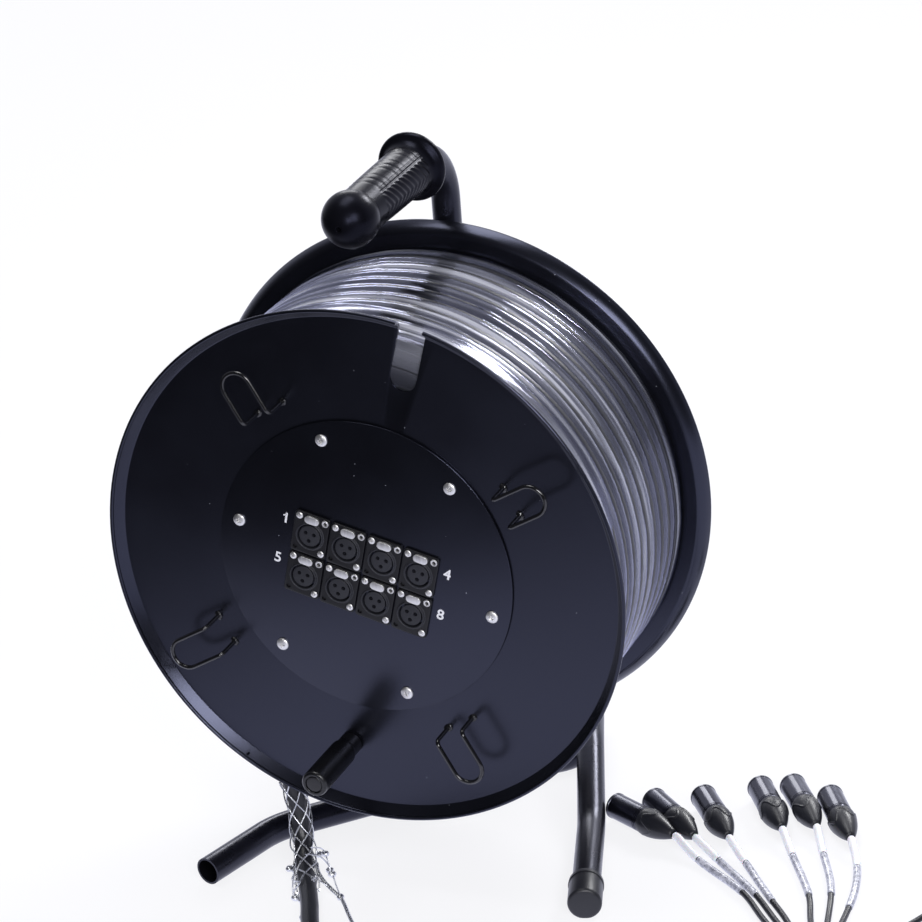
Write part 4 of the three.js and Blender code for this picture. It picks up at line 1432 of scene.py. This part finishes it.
def bootRadius(height):
    share = (height - plug["shell"]) / (plug["length"] - plug["shell"])
    belly = plug["boot"] - 0.7 * (1 - min(1, share * 6)) ** 2
    return belly - (belly - plug["tip"]) * max(0, (share - 0.22) / 0.78) ** 1.7


def plugBoot(place):
    under = place.to_3x3().inverted() @ Vector((0, 0, -1))
    start, end, tip = plug["shell"] + 0.15, plug["length"], plug["tip"]
    heights = [start + 0.9 + (end - start - 2.2) * k / 70 for k in range(71)]
    profile = [(0, start), (plug["boot"] - 1.1, start), (plug["boot"] - 0.6, start + 0.4)]
    profile += [(bootRadius(height), height) for height in heights]
    boot = profileSpin(profile + [(tip + 0.1, end - 0.5), (tip - 0.3, end), (0, end)], 144)
    swing, lean = plug["waveSwing"]
    for v in boot.verts:
        radius = hypot(v.co.x, v.co.y)
        if radius < tip + 0.6 or v.co.z < start + 1:
            continue
        turn = atan2(v.co.y, v.co.x)
        crest = start + plug["waveAt"] + swing * cos(4 * turn) + lean * cos(2 * turn)
        steep = hypot(1, 1.8 * sin(4 * turn))
        push = plug["waveHeight"] * max(0, 1 - (abs(v.co.z - crest) / steep / plug["wave"]) ** 2)
        push *= 1 - max(0, v.co.x * under.x + v.co.y * under.y) / radius  # smooth where it lies
        swell(v, 1 + push / radius)
    return boot


for k, frameOfPlug in enumerate(plugFrames):
    place = shifted(0, 0, plug["lift"]) @ frameOfPlug
    spin = place @ turned(0.5 * k)
    finishPiece(f"plug{k + 1}Shell", plugShell(), "shell", "stand", place, f"plug_{k + 1}", 32)
    finishPiece(f"plug{k + 1}Pins", plugPins(), "contact", "stand", spin, smooth=60)
    finishPiece(f"plug{k + 1}Boot", plugBoot(spin), "boot", "stand", spin, smooth=70)
print("plugs made")


# Heat-shrink and clear label sleeves behind each plug
label = {
    "shrinkLength": 31,
    "shrink": 5.9,
    "clearLength": 56,
    "clear": 5.5,
    "sides": 28,
    "uneven": 0.03,
    "endTuck": 0.25,
}


def alongRoute(route, start, length):
    # the stretch of a route that begins start mm from its far end and runs back towards its root
    run, stretch = 0, []
    backward = smoothRoute(list(reversed(route)), 1)
    for before, point in zip(backward, backward[1:]):
        run += (point - before).length
        if start <= run <= start + length:
            stretch.append(point)
    return stretch


def sleeveOn(name, route, start, length, diameter, finish):
    frames = routeFrames(alongRoute(route, start, length))
    sides = label["sides"]
    bm = bmesh.new()
    rings = []
    for number, (point, _, side, across) in enumerate(frames):
        tuck = label["endTuck"] if number in (0, len(frames) - 1) else 0
        radius = diameter / 2 * (1 + label["uneven"] * noise.noise(point * 0.25)) - tuck
        rings.append([
            bm.verts.new(point + (side * cos(t) + across * sin(t)) * radius)
            for t in (2 * pi * step / sides for step in range(sides))
        ])
    for first, second in zip(rings, rings[1:]):
        for step in range(sides):
            after = (step + 1) % sides
            bm.faces.new((first[step], first[after], second[after], second[step]))
    bm.faces.new(list(reversed(rings[0])))
    bm.faces.new(rings[-1])
    faceOut(bm)
    finishPiece(name, bm, finish, "stand", smooth=60)


for k, route in enumerate(tailRoutes):
    shrink = label["shrinkLength"]
    sleeveOn(f"shrink{k + 1}", route, -1, shrink, label["shrink"], "shrink")
    sleeveOn(f"label{k + 1}", route, shrink - 1, label["clearLength"], label["clear"], "clear")
print("sleeves made")


# Each cord with the pieces that are on it
declareCord(
    "freeCable", cableRoute, cable["diameter"], "fitting", "stiff",
    ["gripSleeve", "gripLoops", "gripCrimps", "splitterBoot"],
)
for k, route in enumerate(tailRoutes):
    pieces = ("plug{}Shell", "plug{}Pins", "plug{}Boot", "shrink{}", "label{}")
    declareCord(
        f"tail{k + 1}", route, tail["diameter"], "plug", "medium", [piece.format(k + 1) for piece in pieces],
    )
declareCord(
    "pullRope", ropeRoute, rope["diameter"], "fitting", "stiff", ["ropeEye"],
    path=[p * mm for p in ropeRoute],
)


# Modelled pieces that show as they are packed
for name, finish in (
    ("drum_core", "steel"), ("hub_tube", "steel"), ("axle_shaft", "zinc"), ("crank_bolt", "zinc"),
):
    node = bpy.data.objects[name]
    for slot in node.material_slots:
        slot.material = finishes[finish]
    if not node.material_slots:
        node.data.materials.append(finishes[finish])


# Studio: a white sweep under and behind the reel, a dark room in front of it, soft lamps
studio = {
    "room": 0.05,
    "sweep": 0.7,
    "sweepFrom": (-0.15, 0.45),
    "floor": 12,
    # strength of the floor's painted glow, near the reel and out towards the room
    "glowNear": 1.2,
    "glowFar": 0.02,
    "fade": (0.31, 0.78),
    "darkSide": (-0.62, -0.78, 0),
    "whiteFrom": (0.8, 2.2),  # the sheet runs out to plain white past the shadow
    "white": (0.85, 1.0),
    "lamps": [
        ("topSoftbox", (-0.35, 0.1, 2.4), (-0.05, 0, 0.3), (1.5, 0.9), 26, "#ffffff"),
        ("frontSoftbox", (0.8, -2.75, 1.3), (0, 0, 0.25), (0.6, 0.6), 26, "#fbfbff"),
        ("rightSoftbox", (1.25, -1.5, 1.35), (0.05, 0, 0.25), (0.9, 0.9), 24, "#fbfbff"),
        ("backLeftSoftbox", (-1.0, 2.0, 1.25), (0, 0, 0.3), (0.9, 0.5), 10, "#ffffff"),
        ("backSoftbox", (0.55, 2.1, 1.55), (0, 0, 0.35), (0.8, 0.6), 36, "#ffffff"),
    ],
}


def makeLamp(name, place, target, size, power, colour):
    data = bpy.data.lights.new(name, "AREA")
    data.shape, data.size, data.size_y, data.energy = "RECTANGLE", *size, power
    data.color = linear(colour)[:3]
    back = (Vector(place) - Vector(target)).normalized()
    right = Vector((0, 0, 1)).cross(back).normalized()
    addObject(name, data).matrix_world = axes(right, back.cross(right), back, place)


def studioWorld():
    world = bpy.data.worlds.new("studioWorld")
    bpy.context.scene.world = world
    world.use_nodes = True
    tree = world.node_tree
    rays = addNode(tree, "LightPath").outputs
    straight = mathOf(tree, "MAXIMUM", rays["Is Camera Ray"], rays["Is Transmission Ray"])
    heading = addNode(tree, "SeparateXYZ", {"Vector": addNode(tree, "TexCoord").outputs["Generated"]})
    sweep = rangeOf(
        tree, heading.outputs["Y"], studio["sweepFrom"], (studio["room"], studio["sweep"]),
        interpolation_type="SMOOTHSTEP",
    )
    backdrop = shaderOf(tree, "Background", Color=linear("#ffffff"), Strength=1.0)
    around = shaderOf(tree, "Background", Color=linear("#eceeff"), Strength=sweep)
    showSurface(tree, mixOf(tree, straight, around, backdrop), "World Output")


# seamless paper floor: near white to the camera with the soft shadow left in it; to every other ray it is a
# painted glow, bright near the reel and dark towards the room in front, which the reel shows in its
# reflections and takes as bounce light
def paperFloor():
    material, tree, shader = newMaterial("whitePaperFloor")
    setSockets(tree, shader, {"Roughness": 0.75, "Specular IOR Level": 0.1, "Base Color": linear("#f7f8fd")})
    glow = shaderOf(tree, "Emission", Color=linear("#fdfdff"), Strength=1.0)
    ground = addNode(tree, "NewGeometry").outputs["Position"]
    away = addNode(tree, "VectorMath", {0: ground}, operation="LENGTH").outputs["Value"]
    white = rangeOf(tree, away, studio["whiteFrom"], studio["white"])
    reach = addNode(tree, "VectorMath", {0: ground, 1: studio["darkSide"]}, operation="DOT_PRODUCT")
    fade = rangeOf(
        tree, reach.outputs["Value"], studio["fade"], (studio["glowNear"], studio["glowFar"]),
        interpolation_type="SMOOTHSTEP",
    )
    # painted glow, bluish, standing in for the lit floor in reflections and bounce light
    paintedFloorGlow = shaderOf(tree, "Emission", Color=linear("#e9ebff"), Strength=fade)
    shown = mixOf(tree, white, shader.outputs["BSDF"], glow)
    seen = addNode(tree, "LightPath").outputs["Is Camera Ray"]
    showSurface(tree, mixOf(tree, seen, paintedFloorGlow, shown))
    return material


for lamp in studio["lamps"]:
    makeLamp(*lamp)
studioWorld()
sheet = bmesh.new()
bmesh.ops.create_grid(sheet, x_segments=1, y_segments=1, size=studio["floor"] / 2)
floor = meshObject("studioFloor", sheet)
floor.data.materials.append(paperFloor())
bpy.context.scene.view_settings.view_transform = "Standard"
print("studio lit")
